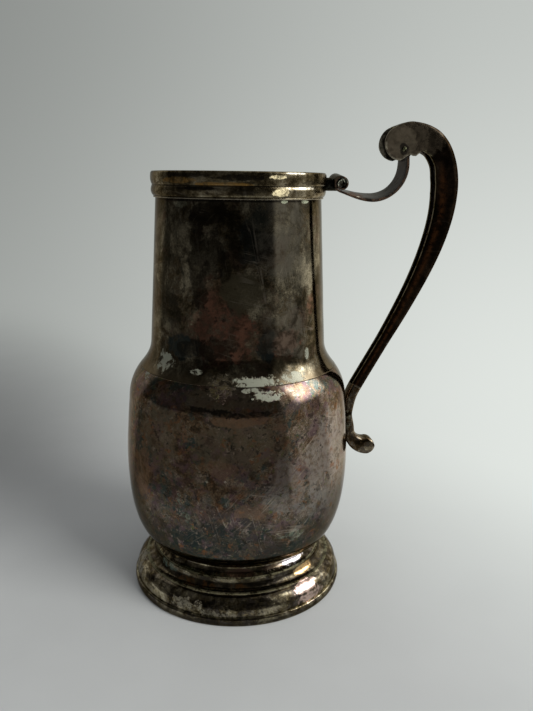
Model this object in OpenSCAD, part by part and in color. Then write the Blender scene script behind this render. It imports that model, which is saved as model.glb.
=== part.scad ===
// Footed jug with a hollow scroll handle: raised sheet body, moulded foot and rim, pinned bracket strap.
// Frame: millimetres, Z up, origin on the jug's axis at table level, handle towards +X.

/* [Body] */
// Height of the mouth above the table
body_h = 210; // [200:1:228]
// Widest diameter of the belly
belly_d = 113.8; // [110:0.2:122]
// Height of the belly's widest ring
belly_z = 69; // [62:1:75]
// Diameter at the shoulder seam
shoulder_d = 97.6; // [94:0.2:101]
// Height of the shoulder seam
shoulder_z = 117; // [114:1:124]
// Diameter where the straight part of the neck begins
neck_base_d = 87; // [84:0.2:90]
// Diameter of the neck at the mouth
mouth_d = 78.8; // [74:0.1:83]
// Thickness of the raised sheet
sheet_t = 1.4; // [1:0.1:2]

/* [Rim band] */
// Height of the moulded band below the mouth
rim_h = 12; // [10:0.5:14]
// How far the band's upper moulding stands out from the neck
rim_proud = 2.4; // [1.6:0.1:3]

/* [Foot] */
// Diameter of the foot at the table
foot_d = 110; // [104:1:118]
// Height of the wire that the foot stands on
foot_wire_h = 4; // [3:0.5:5]
// Breadth of that wire
foot_wire_w = 3.4; // [2.6:0.2:4.4]
// From the foot's edge in to the step above the rounded flange
flange_in = 6.2; // [5:0.1:8]
// Height of the rounded flange, from the wire to the step
flange_h = 9; // [7:0.5:11]
// From the step in to the fillet that carries the collar
scotia_in = 5; // [4:0.1:6]
// Height of the scotia with its fillet, above the step
scotia_h = 5.6; // [4.6:0.2:7]
// From the fillet in to the collar's bead
collar_in = 3.3; // [2.4:0.1:4]
// Height of the collar, from the fillet to the bowl's floor
collar_h = 5.4; // [4.4:0.2:7]

/* [Handle] */
// From the rim band to the middle of the scroll head
head_reach = 36.3; // [32:0.1:41]
// From the mouth up to the middle of the scroll head
head_rise = 14.7; // [12:0.1:18]
// Diameter of the scroll head
head_d = 16.6; // [15:0.2:18]
// Width of the scroll head across its cheeks
head_w = 12.4; // [11:0.2:14]
// From the rim band to the middle of the stem at its farthest
stem_reach = 61.4; // [57:0.1:65]
// From the mouth down to that place
stem_drop = 9; // [5:0.5:12]
// Thickness of the stem there
stem_t = 11.8; // [10:0.2:13]
// Width of the stem there
stem_w = 11.2; // [10:0.2:13]
// Thickness of the stem at its lower end
stem_end_t = 5.4; // [4.6:0.2:7]
// Width of the stem at its lower end
stem_end_w = 8.8; // [7:0.2:10]
// Thickness of the handle's sheet and of its closing strip
handle_wall = 1.2; // [0.9:0.1:1.6]
// Height at which the tail lies flat against the belly
tail_z = 87.5; // [83:0.5:92]
// Thickness of the tail there
tail_t = 4.2; // [3:0.2:5]
// Radius of the tail's outward curl, at its middle
curl_r = 9.4; // [8:0.2:11]
// Thickness of the curled tip
tip_t = 9; // [7:0.2:10]

/* [Bracket] */
// From the rim band to the middle of the rim volute
volute_reach = 7.3; // [6.6:0.1:9]
// From the mouth down to the middle of the rim volute
volute_drop = 4.1; // [3:0.1:6]
// Outer radius of the rim volute
volute_r = 4.2; // [3.8:0.1:4.8]
// Width of the strap at the rim volute
strap_rim_w = 14; // [11:0.5:16]
// Thickness of the strap along its curve
strap_t = 1.5; // [1.2:0.1:2.4]
// How far the strap's curve dips below the mouth
strap_dip = 12; // [10:0.5:15]
// Diameter of the pin through the scroll head
pin_d = 2.8; // [2.2:0.1:3.4]
// Width of the block between the rim and the volute
saddle_w = 9; // [6:0.5:12]

/* [Clearances] */
// Film of solder between pieces that lie against each other
solder_gap = 0.05; // [0:0.01:0.1]
// Play of the pin in its holes and of the strap between the cheeks
pin_play = 0.1; // [0.05:0.01:0.2]

/* [Hidden] */
round_fn = 96;

// Cubic curve from a to d with the handles b and c, as n steps
function curve(a, b, c, d, n) =
    [for (i = [0:n]) let (t = i / n, s = 1 - t)
        s * s * s * a + 3 * s * s * t * b + 3 * s * t * t * c + t * t * t * d];
// A list without its first point
function tail(p) = [for (i = [1:len(p) - 1]) p[i]];
function slice(p, from, to) = [for (i = [from:to]) p[i]];
function flip(p) = [for (i = [len(p) - 1:-1:0]) p[i]];
// Direction of a run of points at point i
function heading(p, i) =
    let (d = p[min(i + 1, len(p) - 1)] - p[max(i - 1, 0)]) d / norm(d);
// The same run moved t to its left, which is inwards on a profile drawn upwards
function inset(p, t) =
    [for (i = [0:len(p) - 1]) let (d = heading(p, i)) p[i] + t * [-d[1], d[0]]];

// Foot, stacked from the table up and from its edge in
foot_r = foot_d / 2;
foot_step_r = foot_r - flange_in;
foot_top_r = foot_step_r - scotia_in;
collar_r = foot_top_r - collar_in;
foot_step_z = foot_wire_h + flange_h;
foot_top_z = foot_step_z + scotia_h;
bowl_z = foot_top_z + collar_h;

// Body profile, drawn from the middle of the floor up to the mouth
belly_r = belly_d / 2;
shoulder_r = shoulder_d / 2;
neck_base_r = neck_base_d / 2;
mouth_r = mouth_d / 2;
// Straight part of the neck begins this far above the seam
neck_base_z = shoulder_z + 12;
// The side turns into the shoulder this far below the seam, drawn in by crest_in
crest_z = shoulder_z - 17;
crest_in = 1.8;
floor_edge = [collar_r - 0.5, bowl_z];
widest = [belly_r, belly_z];
crest = [belly_r - crest_in, crest_z];
seam = [shoulder_r, shoulder_z];
neck_base = [neck_base_r, neck_base_z];
mouth = [mouth_r, body_h];
neck_slope = (mouth - neck_base) / (body_h - neck_base_z);
side_lift = (crest_z - belly_z) / 3;
floor_out = belly_r - floor_edge[0];
shoulder_span = seam - crest;
neck_span = neck_base - seam;
curve_steps = 10;
belly_line = concat(
    [[0, bowl_z], [0.9 * floor_edge[0], bowl_z]],
    curve(floor_edge, floor_edge + floor_out * [0.77, 0.09], widest - [0, (belly_z - bowl_z) / 2], widest,
          2 * curve_steps),
    tail(curve(widest, widest + [0, side_lift], crest + [0.9, -side_lift], crest, curve_steps)),
    tail(curve(crest, crest + [0.05 * shoulder_span[0], 0.44 * shoulder_span[1]],
               seam - [0.65 * shoulder_span[0], 0.295 * shoulder_span[1]], seam, curve_steps)));
neck_line = concat(
    curve(seam, seam + [0.64 * neck_span[0], 0.35 * neck_span[1]],
          neck_base - 0.375 * neck_span[1] * neck_slope, neck_base, curve_steps),
    [mouth]);
body_line = concat(belly_line, tail(neck_line));
seam_i = len(belly_line) - 1;
mouth_i = len(body_line) - 1;
inside_line = concat(slice(inset(body_line, sheet_t), 0, mouth_i - 1), [[mouth_r - sheet_t, body_h]]);
// Outer radius of the bowl and of the neck at a height
function bowl_r_at(z) = lookup(z, [for (p = tail(belly_line)) [p[1], p[0]]]);
function neck_r_at(z) = mouth_r + (z - body_h) * neck_slope[0];

module lathe(p) rotate_extrude($fn = round_fn) polygon(p);

module bowl() color("#6b615c")
    lathe(concat(slice(body_line, 0, seam_i), flip(slice(inside_line, 0, seam_i))));

module neck() color("#5a4d48")
    lathe(concat(slice(body_line, seam_i, mouth_i), flip(slice(inside_line, seam_i, mouth_i))));

// Rim band, in shares of its height: fillet, ovolo, shallow groove and upper moulding
rim_low = body_h - rim_h;
rim_r = mouth_r + rim_proud;
rim_out = rim_r + 0.2;
function rim_at(share, out) = let (z = rim_low + share * rim_h) [neck_r_at(z) + out * rim_proud, z];
rim_line = concat(
    [rim_at(0, 0), rim_at(0, 0.36), rim_at(0.05, 0.36)],
    curve(rim_at(0.06, 0.3), rim_at(0.12, 0.85), rim_at(0.32, 1.05), rim_at(0.45, 0.74), 8),
    curve(rim_at(0.5, 0.72), rim_at(0.58, 1.05), rim_at(0.8, 1.16), rim_at(0.95, 1.04), 8),
    [rim_at(1, 0.82), rim_at(1, 0)]);

module rim_band() color("#7b7062") lathe(rim_line);

// Foot: wire, rounded flange, step, scotia, fillet, and the collar that stands on it
foot_t = 1.5;
collar_t = 3.6;
step_h = 0.6;
fillet_h = 0.8;
wire_flat = 0.6;
wire_in = foot_r - foot_wire_w;
flange_low = [foot_r - 1.3, foot_wire_h];
flange_top = [foot_step_r, foot_step_z];
scotia_low = [foot_step_r - step_h, foot_step_z + step_h];
scotia_top = [foot_top_r, foot_top_z - fillet_h];
scotia_rise = scotia_top[1] - scotia_low[1];
flange_line = curve(flange_low, flange_low + [0.5, 0.55 * flange_h],
                    flange_top + [2.6, -0.1 * flange_h], flange_top, 10);
scotia_line = curve(scotia_low, scotia_low + [-2.6, 0.05 * scotia_rise],
                    scotia_top + [0.1, -0.6 * scotia_rise], scotia_top, 8);
foot_bore_r = collar_r - collar_t;
foot_under = concat(
    inset(concat(flange_line, scotia_line), foot_t),
    [[foot_top_r - foot_t, foot_top_z - foot_t], [foot_bore_r, foot_top_z - foot_t]]);

module foot() color("#5d564a")
    lathe(concat(flange_line, [flange_top + [0, step_h]], scotia_line,
                 [[foot_top_r, foot_top_z], [foot_bore_r, foot_top_z]], flip(tail(foot_under)),
                 [[flange_low[0] - foot_t, foot_wire_h]]));

module foot_wire() color("#4c443a")
    lathe(concat([[wire_in, 0], [foot_r - wire_flat, 0]],
                 curve([foot_r - wire_flat, 0], [foot_r, 0.15 * foot_wire_h],
                       [foot_r + 0.2, 0.85 * foot_wire_h], flange_low + [0.5, 0], 8),
                 [[wire_in, foot_wire_h]]));

// The collar's cove rises from the fillet to a bead under the bowl
bead_h = 1.4;
cove_low = [foot_top_r - 0.6, foot_top_z];
cove_top = [collar_r - 0.7, bowl_z - bead_h];
cove_rise = cove_top[1] - cove_low[1];

module foot_collar() color("#5f4a3c")
    lathe(concat(curve(cove_low, cove_low + [-1.6, 0.2 * cove_rise],
                       cove_top - [0, 0.5 * cove_rise], cove_top, 8),
                 curve(cove_top, cove_top + [0.9, 0.1 * bead_h],
                       [collar_r + 0.2, bowl_z - 0.3 * bead_h], [collar_r - 0.5, bowl_z], 6),
                 [[foot_bore_r, bowl_z], [foot_bore_r, foot_top_z]]));

// Handle: stations along the middle of its side view, each with its sizes across
head = [rim_out + head_reach, body_h + head_rise];
stem_top = [rim_out + stem_reach, body_h - stem_drop];
// The stem ends above the tail's flat stretch and leans this way
joint_rise = 14.5;
joint_out = 7;
stem_lean = [0.48, 0.88];
joint = [bowl_r_at(tail_z + joint_rise) + joint_out, tail_z + joint_rise];
head_r = head_d / 2;
head_span = stem_top - head;
stem_span = stem_top[1] - joint[1];
head_line = curve(head, head + head_span[0] * [0.57, 0.185],
                  stem_top - [0, 0.738 * head_span[1]], stem_top, 24);
stem_line = curve(stem_top, stem_top - [0, 0.303 * stem_span],
                  joint + 0.3535 * stem_span * stem_lean, joint, 28);
head_n = len(head_line) - 1;
stem_n = len(stem_line) - 1;
head_dir = heading(head_line, 0);
// Rounded nose of the head, from near its tip to its middle
nose_steps = 10;
nose_a = [for (i = [0:nose_steps - 1]) 6 + i * (90 - 6) / nose_steps];
nose_line = [for (a = nose_a) head - head_r * cos(a) * head_dir];
handle_line = concat(nose_line, head_line, tail(stem_line));
// Place along the handle: below 0 on the nose, 0 to 1 round the head, 1 to 2 down the stem
handle_u = concat([for (a = nose_a) -cos(a)], [for (i = [0:head_n]) i / head_n],
                  [for (i = [1:stem_n]) 1 + i / stem_n]);
stem_half = stem_t / 2;
end_half = stem_end_t / 2;
// Half thickness towards the back, and towards the mouth of the channel with the head's two small lobes
function back_at(u) = u < 0 ? head_r * sqrt(1 - u * u) :
    lookup(u, [[0, head_r], [0.12, 1.11 * head_r], [0.2, 1.06 * head_r], [0.41, 1.03 * head_r],
               [0.54, 0.95 * head_r], [0.64, 0.88 * head_r], [0.8, 1.11 * stem_half], [1, stem_half],
               [1.25, 0.7 * stem_half + 0.3 * end_half], [1.5, 0.3 * stem_half + 0.7 * end_half],
               [1.75, end_half], [2, end_half]]);
function inner_at(u) = u < -0.4 || u > 1 ? back_at(u) :
    lookup(u, [[-0.4, back_at(-0.4)], [-0.2, 0.91 * head_r], [0, 0.82 * head_r], [0.08, 0.74 * head_r],
               [0.14, 0.855 * head_r], [0.2, 0.85 * head_r], [0.31, 0.66 * stem_half],
               [0.48, 0.6 * stem_half], [0.67, 0.72 * stem_half], [0.82, 0.93 * stem_half], [1, stem_half]]);
function width_at(u) =
    lookup(u, [[0, head_w], [0.3, head_w], [1, stem_w], [1.75, stem_end_w], [2, stem_end_w]]) / 2;
// Half width of the channel's flat inner side: full at the open head, drawn in on the stem
function flat_at(u) = width_at(u) * lookup(u, [[0.2, 0.97], [0.5, 0.72], [2, 0.72]]);
// Roundness of the back: nearly square at the head, eased on the stem
function round_at(u) = lookup(u, [[0.2, 0.25], [0.7, stem_round]]);
stem_round = 0.5;

quarter_n = 4;
back_n = 10;
// Section of the channel as [towards the mouth, across], round the back from one lip to the other
function section(inner, back, half, flat, e) = concat(
    [for (i = [quarter_n:-1:1]) let (a = 90 * i / quarter_n)
        [inner * sin(a), -flat - (half - flat) * cos(a)]],
    [for (i = [0:back_n]) let (a = -90 + 180 * i / back_n)
        [-back * pow(cos(a), e), half * sign(a) * pow(abs(sin(a)), e)]],
    [for (i = [1:quarter_n]) let (a = 90 * i / quarter_n)
        [inner * sin(a), flat + (half - flat) * cos(a)]]);
// A section point carried to its station
function place(p, i, q) =
    let (d = heading(p, i)) [p[i][0] + q[0] * d[1], q[1], p[i][1] - q[0] * d[0]];
function outer_ring(i) = let (u = handle_u[i])
    [for (q = section(inner_at(u), back_at(u), width_at(u), flat_at(u), round_at(u)))
        place(handle_line, i, q)];
function hollow_ring(i) = let (u = handle_u[i])
    [for (q = section(inner_at(u), back_at(u) - handle_wall, width_at(u) - handle_wall,
                      flat_at(u) - handle_wall, round_at(u))) place(handle_line, i, q)];

ring_n = 2 * quarter_n + back_n + 1;
station_n = len(handle_line);
// The hollow begins at this station, and a slot opens it through the nose
open_i = 4;
// Two triangles for each side between ring rows a and b, over the sides from..to
function band(a, b, from, to) = [for (k = [from:to], s = [0, 1]) s == 0 ?
    [a + k, b + k, b + k + 1] : [a + k, b + k + 1, a + k + 1]];
// A closed rod of rings with n points each
function rod_faces(rings, n) = concat(
    [[for (k = [0:n - 1]) k]],
    [for (i = [0:rings - 2], k = [0:n - 1], s = [0, 1]) let (a = i * n, b = a + n, m = (k + 1) % n) s == 0 ?
        [a + k, b + k, b + m] : [a + k, b + m, a + m]],
    [[for (k = [n - 1:-1:0]) (rings - 1) * n + k]]);
module rod(rings) polyhedron([for (r = rings) each r],
    [for (f = rod_faces(len(rings), len(rings[0]))) flip(f)], convexity = 6);

// Channel: outer rings over the whole length, hollow rings from the opening on
module channel() {
    last = ring_n - 1;
    end = station_n - 1;
    points = concat([for (i = [0:end]) each outer_ring(i)], [for (i = [open_i:end]) each hollow_ring(i)]);
    o = function (i) i * ring_n;
    h = function (i) (station_n + i - open_i) * ring_n;
    nose_under = [for (i = [0:open_i - 2]) [o(i) + last, o(i + 1) + last, o(i + 1), o(i)]];
    nose_edge = [[o(open_i - 1) + last, o(open_i) + last, h(open_i) + last,
                  h(open_i), o(open_i), o(open_i - 1)]];
    lips = [for (i = [open_i:end - 1]) each [
        [o(i), h(i), h(i + 1), o(i + 1)], [o(i + 1) + last, h(i + 1) + last, h(i) + last, o(i) + last]]];
    ends = concat([[for (k = [0:last]) k], [for (k = [last:-1:0]) h(open_i) + k]],
        [for (k = [0:last - 1]) [o(end) + k, h(end) + k, h(end) + k + 1, o(end) + k + 1]]);
    skin = [for (i = [0:end - 1]) each band(o(i), o(i + 1), 0, last - 1)];
    lining = [for (i = [open_i:end - 1], f = band(h(i), h(i + 1), 0, last - 1)) flip(f)];
    faces = concat(ends, skin, lining, nose_under, nose_edge, lips);
    polyhedron(points, [for (f = faces) flip(f)], convexity = 8);
}

// The pin crosses the head a little below its middle
pin_at = head + head_r * [0.12, -0.35];
module cross_pin(d, w) translate([pin_at[0], 0, pin_at[1]]) rotate([90, 0, 0])
    cylinder(d = d, h = w, center = true, $fn = 48);

// Slot that leaves two bare cheeks at the nose, ahead of the place where the back begins
slot_half = flat_at(0) - handle_wall - 0.1;
slot_back = head[0] - 0.33 * head_r;
module nose_slot() translate([slot_back - 2 * head_r, -slot_half, head[1] - 2 * head_r])
    cube([2 * head_r, 2 * slot_half, 4 * head_r]);

module handle_shell() color("#3c2f28") difference() {
    channel();
    nose_slot();
    cross_pin(pin_d + 2 * pin_play, 2 * head_w);
}

// The strip lies between the channel's lips, from the head's inner corner to the stem's end
strip_from = nose_steps + round(0.32 * head_n);
function strip_ring(i) = let (u = handle_u[i], b = flat_at(u) - handle_wall - solder_gap, n = inner_at(u))
    [for (q = [[n - handle_wall, -b], [n - handle_wall, b], [n, b], [n, -b]]) place(handle_line, i, q)];

module handle_strip() color("#4a3b32") rod([for (i = [strip_from:station_n - 1]) strip_ring(i)]);

// Tail: from the stem's end down the belly, then out in a curl with a rounded tip
contact_h = 9;
tail_half = tail_t / 2;
tip_half = tip_t / 2;
tail_low_z = tail_z - contact_h;
function seat_at(z, half) = [bowl_r_at(z) + solder_gap + half, z];
tail_low_half = tail_half + 0.5;
tail_mid = seat_at(tail_z, tail_half);
tail_low = seat_at(tail_low_z, tail_low_half);
curl_mid = tail_low + [curl_r, 0];
tail_line = concat(
    curve(joint, joint - 0.41 * joint_rise * stem_lean, tail_mid + [0.4, 0.41 * joint_rise], tail_mid, 8),
    tail(curve(tail_mid, tail_mid - [0, contact_h / 3], tail_low + [0, contact_h / 3], tail_low, 6)),
    [for (i = [1:12]) let (a = 180 + 90 * i / 12) curl_mid + curl_r * [cos(a), sin(a)]]);
tail_n = len(tail_line) - 1;
tip_steps = 8;
tip_line = [for (i = [1:tip_steps]) tail_line[tail_n] + tip_half * [sin(84 * i / tip_steps), 0]];
tail_path = concat(tail_line, tip_line);
// Half thickness by station: the stem's end, the flat stretch, the curl and its round tip
function tail_half_at(i) = i > tail_n ? tip_half * cos(84 * (i - tail_n) / tip_steps) :
    lookup(i, [[0, end_half], [5, tail_half + 0.5], [8, tail_half], [14, tail_low_half],
               [tail_n, tip_half]]);
function tail_flat_at(i) = lookup(i, [[0, 0.72], [tail_n, 0.8]]);
function tail_ring(i) = let (t = tail_half_at(i), w = stem_end_w / 2)
    [for (q = section(t, t, w, w * tail_flat_at(i), stem_round)) place(tail_path, i, q)];

module tail_scroll() color("#54473a") rod([for (i = [0:len(tail_path) - 1]) tail_ring(i)]);

// Bracket strap: volute at the rim, an S down to the bottom of the curve, up to the eye round the pin
volute = [rim_out + volute_reach, body_h - volute_drop];
volute_t = 1;
volute_pitch = 1.3;
volute_turn = 674;
// The strap leaves the volute sloping down by this angle
volute_lead = 14;
// The eye is rolled from the strap's thinned end
eye_t = 1.4;
eye_mid = pin_d / 2 + pin_play + eye_t / 2;
volute_mid = volute_r - volute_t / 2;
volute_low = volute + volute_mid * [cos(270 - volute_lead), sin(270 - volute_lead)];
lead_dir = [cos(volute_lead), -sin(volute_lead)];
strap_side = pin_at[0] + eye_mid;
strap_low = [(volute[0] + strap_side) / 2, body_h - strap_dip + strap_t / 2];
strap_up = [strap_side, strap_low[1] + strap_side - strap_low[0]];
bow_half = strap_low[0] - volute[0];
bend = 0.56 * bow_half;
volute_line = [for (a = [volute_turn:-20:volute_lead + 20])
    volute + (volute_mid - volute_pitch * (a - volute_lead) / 360) * [cos(270 - a), sin(270 - a)]];
bow_line = concat(
    curve(volute_low, volute_low + 0.33 * bow_half * lead_dir,
          strap_low - [0.4 * bow_half, 0], strap_low, 10),
    tail(curve(strap_low, strap_low + [bend, 0], strap_up - [0, bend], strap_up, 12)),
    [[strap_side, pin_at[1] - 2 * eye_mid]]);
eye_line = [for (a = [0:15:270]) pin_at + eye_mid * [cos(a), sin(a)]];
strap_line = concat(volute_line, bow_line, eye_line);
volute_n = len(volute_line);
bow_n = volute_n + len(bow_line);
function strap_half(i) = lookup(i, [[0, 0.4], [volute_n, volute_t / 2], [volute_n + 8, strap_t / 2],
                                    [bow_n - 2, strap_t / 2], [bow_n, eye_t / 2]]);
strap_left = [for (i = [0:len(strap_line) - 1])
    let (d = heading(strap_line, i)) strap_line[i] + strap_half(i) * [-d[1], d[0]]];
strap_right = [for (i = [0:len(strap_line) - 1])
    let (d = heading(strap_line, i)) strap_line[i] - strap_half(i) * [-d[1], d[0]]];
strap_head_w = head_w - 2 * handle_wall - 2 * pin_play;

// Side view drawn in X and Z, given a width across
module upright(w) rotate([90, 0, 0]) linear_extrude(height = w, center = true) children();

module bracket_strap() color("#6a6660") intersection() {
    upright(strap_rim_w) polygon(concat(strap_left, flip(strap_right)));
    // The strap narrows in plan from the volute to the cheeks
    translate([0, 0, body_h - strap_dip - strap_t]) linear_extrude(height = 2 * (head_rise + strap_dip))
        polygon([[volute[0] - 2 * volute_r, -strap_rim_w / 2], [volute[0] + volute_r, -strap_rim_w / 2],
                 [strap_low[0] + bend, -strap_head_w / 2], [head[0] + head_d, -strap_head_w / 2],
                 [head[0] + head_d, strap_head_w / 2], [strap_low[0] + bend, strap_head_w / 2],
                 [volute[0] + volute_r, strap_rim_w / 2], [volute[0] - 2 * volute_r, strap_rim_w / 2]]);
}

// Block between the rim band's moulding and the back of the volute
saddle_h = 1.5 * volute_r;
module rim_saddle() color("#3a352f") difference() {
    upright(saddle_w) translate([mouth_r, volute[1] - volute_r])
        square([volute[0] - mouth_r, saddle_h]);
    lathe(concat([[0, rim_low - rim_h], rim_at(-1, 0)], rim_line, [[0, body_h]]));
    translate([volute[0], 0, volute[1]]) rotate([90, 0, 0])
        cylinder(r = volute_r + solder_gap, h = 2 * saddle_w, center = true, $fn = 64);
}

module head_pin() color("#8a7a52") cross_pin(pin_d, head_w + 0.4);

bowl();
neck();
rim_band();
foot_collar();
foot();
foot_wire();
handle_shell();
handle_strip();
tail_scroll();
bracket_strap();
rim_saddle();
head_pin();
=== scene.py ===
import itertools
import math

import bmesh
import bpy
import numpy as np
from mathutils import Matrix, Vector
from mathutils.kdtree import KDTree


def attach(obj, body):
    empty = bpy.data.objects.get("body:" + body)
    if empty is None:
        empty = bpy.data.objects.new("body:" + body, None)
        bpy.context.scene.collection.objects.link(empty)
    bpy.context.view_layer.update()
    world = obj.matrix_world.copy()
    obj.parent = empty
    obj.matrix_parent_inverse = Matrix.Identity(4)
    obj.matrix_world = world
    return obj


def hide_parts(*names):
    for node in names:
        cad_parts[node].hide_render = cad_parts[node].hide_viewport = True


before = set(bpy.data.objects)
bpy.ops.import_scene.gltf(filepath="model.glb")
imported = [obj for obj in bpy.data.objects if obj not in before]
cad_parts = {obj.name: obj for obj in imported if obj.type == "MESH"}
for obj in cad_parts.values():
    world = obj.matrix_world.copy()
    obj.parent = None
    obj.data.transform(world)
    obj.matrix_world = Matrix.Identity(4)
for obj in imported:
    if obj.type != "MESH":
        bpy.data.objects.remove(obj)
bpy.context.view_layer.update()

scene = bpy.context.scene
mm = 0.001
weldGap = 2e-6
axisFade = 0.02


# small helpers for node trees
def put(tree, kind, inputs=None, **props):
    node = tree.nodes.new(kind)
    for key, value in props.items():
        setattr(node, key, value)
    for key, value in (inputs or {}).items():
        if isinstance(value, bpy.types.NodeSocket):
            tree.links.new(value, node.inputs[key])
        else:
            node.inputs[key].default_value = value
    return node


def calc(tree, operation, a, b=0.0, c=0.0, clamp=False):
    node = put(tree, "ShaderNodeMath", {0: a, 1: b, 2: c}, operation=operation, use_clamp=clamp)
    return node.outputs[0]


def vector(tree, operation, a, b=None, out=0):
    inputs = {0: a} if b is None else {0: a, 1: b}
    return put(tree, "ShaderNodeVectorMath", inputs, operation=operation).outputs[out]


def ease(tree, value, low, high, start=0.0, end=1.0):
    node = put(tree, "ShaderNodeMapRange", {"Value": value, "From Min": low, "From Max": high,
                                            "To Min": start, "To Max": end},
               interpolation_type="SMOOTHSTEP")
    return node.outputs["Result"]


def blend(tree, amount, a, b):
    node = put(tree, "ShaderNodeMix", {"Factor": amount}, data_type="RGBA")
    for socket, value in ((node.inputs[6], a), (node.inputs[7], b)):
        if isinstance(value, bpy.types.NodeSocket):
            tree.links.new(value, socket)
        else:
            socket.default_value = (*value, 1.0)
    return node.outputs[2]


def split(tree, value):
    return put(tree, "ShaderNodeSeparateXYZ", {0: value}).outputs


def join(tree, x, y, z=0.0):
    return put(tree, "ShaderNodeCombineXYZ", {0: x, 1: y, 2: z}).outputs[0]


def grey(tree, level):
    return join(tree, level, level, level)


def union(tree, masks):
    found = masks[0]
    for mask in masks[1:]:
        found = calc(tree, "MAXIMUM", found, mask)
    return found


def noise(tree, place, scale, detail, rough=0.5, warp=0.0, seed=None):
    inputs = {"Vector": place, "Scale": scale, "Detail": detail, "Roughness": rough, "Distortion": warp}
    if seed is None:
        return put(tree, "ShaderNodeTexNoise", inputs).outputs[0]
    return put(tree, "ShaderNodeTexNoise", {**inputs, "W": seed}, noise_dimensions="4D").outputs[0]


def ramp(tree, value, stops):
    node = put(tree, "ShaderNodeValToRGB", {"Fac": value})
    found = node.color_ramp.elements
    while len(found) < len(stops):
        found.new(1.0)
    for element, (place, colour) in zip(found, stops):
        element.position, element.color = place, (*colour, 1.0)
    return node.outputs[0]


def emptyTree(owner):
    owner.use_nodes = True
    owner.node_tree.nodes.clear()
    return owner.node_tree


def startGroup(name, kind, inputs, outputs):
    tree = bpy.data.node_groups.new(name, kind)
    for sockets, way in ((inputs, "INPUT"), (outputs, "OUTPUT")):
        for label, socket in sockets:
            tree.interface.new_socket(label, in_out=way, socket_type="NodeSocket" + socket)
    return tree, put(tree, "NodeGroupInput").outputs, put(tree, "NodeGroupOutput").inputs


# outlines are drawn in millimetres, as radius and height or as X and Z
def bezier(a, b, c, d, steps):
    a, b, c, d = (np.array(p, float) for p in (a, b, c, d))
    return [(1 - t) ** 3 * a + 3 * (1 - t) ** 2 * t * b + 3 * (1 - t) * t * t * c + t ** 3 * d
            for t in np.linspace(0, 1, steps + 1)]


def chain(*runs):
    out = []
    for run in runs:
        for p in run:
            p = np.array(p, float)
            if not out or np.linalg.norm(p - out[-1]) > 1e-6:
                out.append(p)
    return out


def heading(points, i):
    d = points[min(i + 1, len(points) - 1)] - points[max(i - 1, 0)]
    return d / np.linalg.norm(d)


def inset(points, t):
    return [p + t * np.array((-heading(points, i)[1], heading(points, i)[0])) for i, p in enumerate(points)]


def soften(points, radius, closed):
    # rounds the corners of an outline with short arcs
    out, n = [], len(points)
    for i, q in enumerate(points):
        if not closed and i in (0, n - 1):
            out.append(q)
            continue
        u, v = points[i - 1] - q, points[(i + 1) % n] - q
        lu, lv = np.linalg.norm(u), np.linalg.norm(v)
        turn = math.acos(max(-1, min(1, -float(u @ v) / (lu * lv))))
        if turn < 0.3:
            out.append(q)
            continue
        s, e = q + u / lu * min(radius, 0.45 * lu), q + v / lv * min(radius, 0.45 * lv)
        out += [(1 - t) ** 2 * s + 2 * t * (1 - t) * q + t * t * e for t in (0, 0.2, 0.4, 0.6, 0.8, 1)]
    return out


def divide(points, gap, closed):
    # adds points so that no straight run is longer than gap
    ends = points + [points[0]] if closed else points
    out = [ends[0]]
    for a, b in zip(ends, ends[1:]):
        n = max(1, math.ceil(np.linalg.norm(b - a) / gap))
        out += [a + (b - a) * k / n for k in range(1, n + 1)]
    return out


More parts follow.
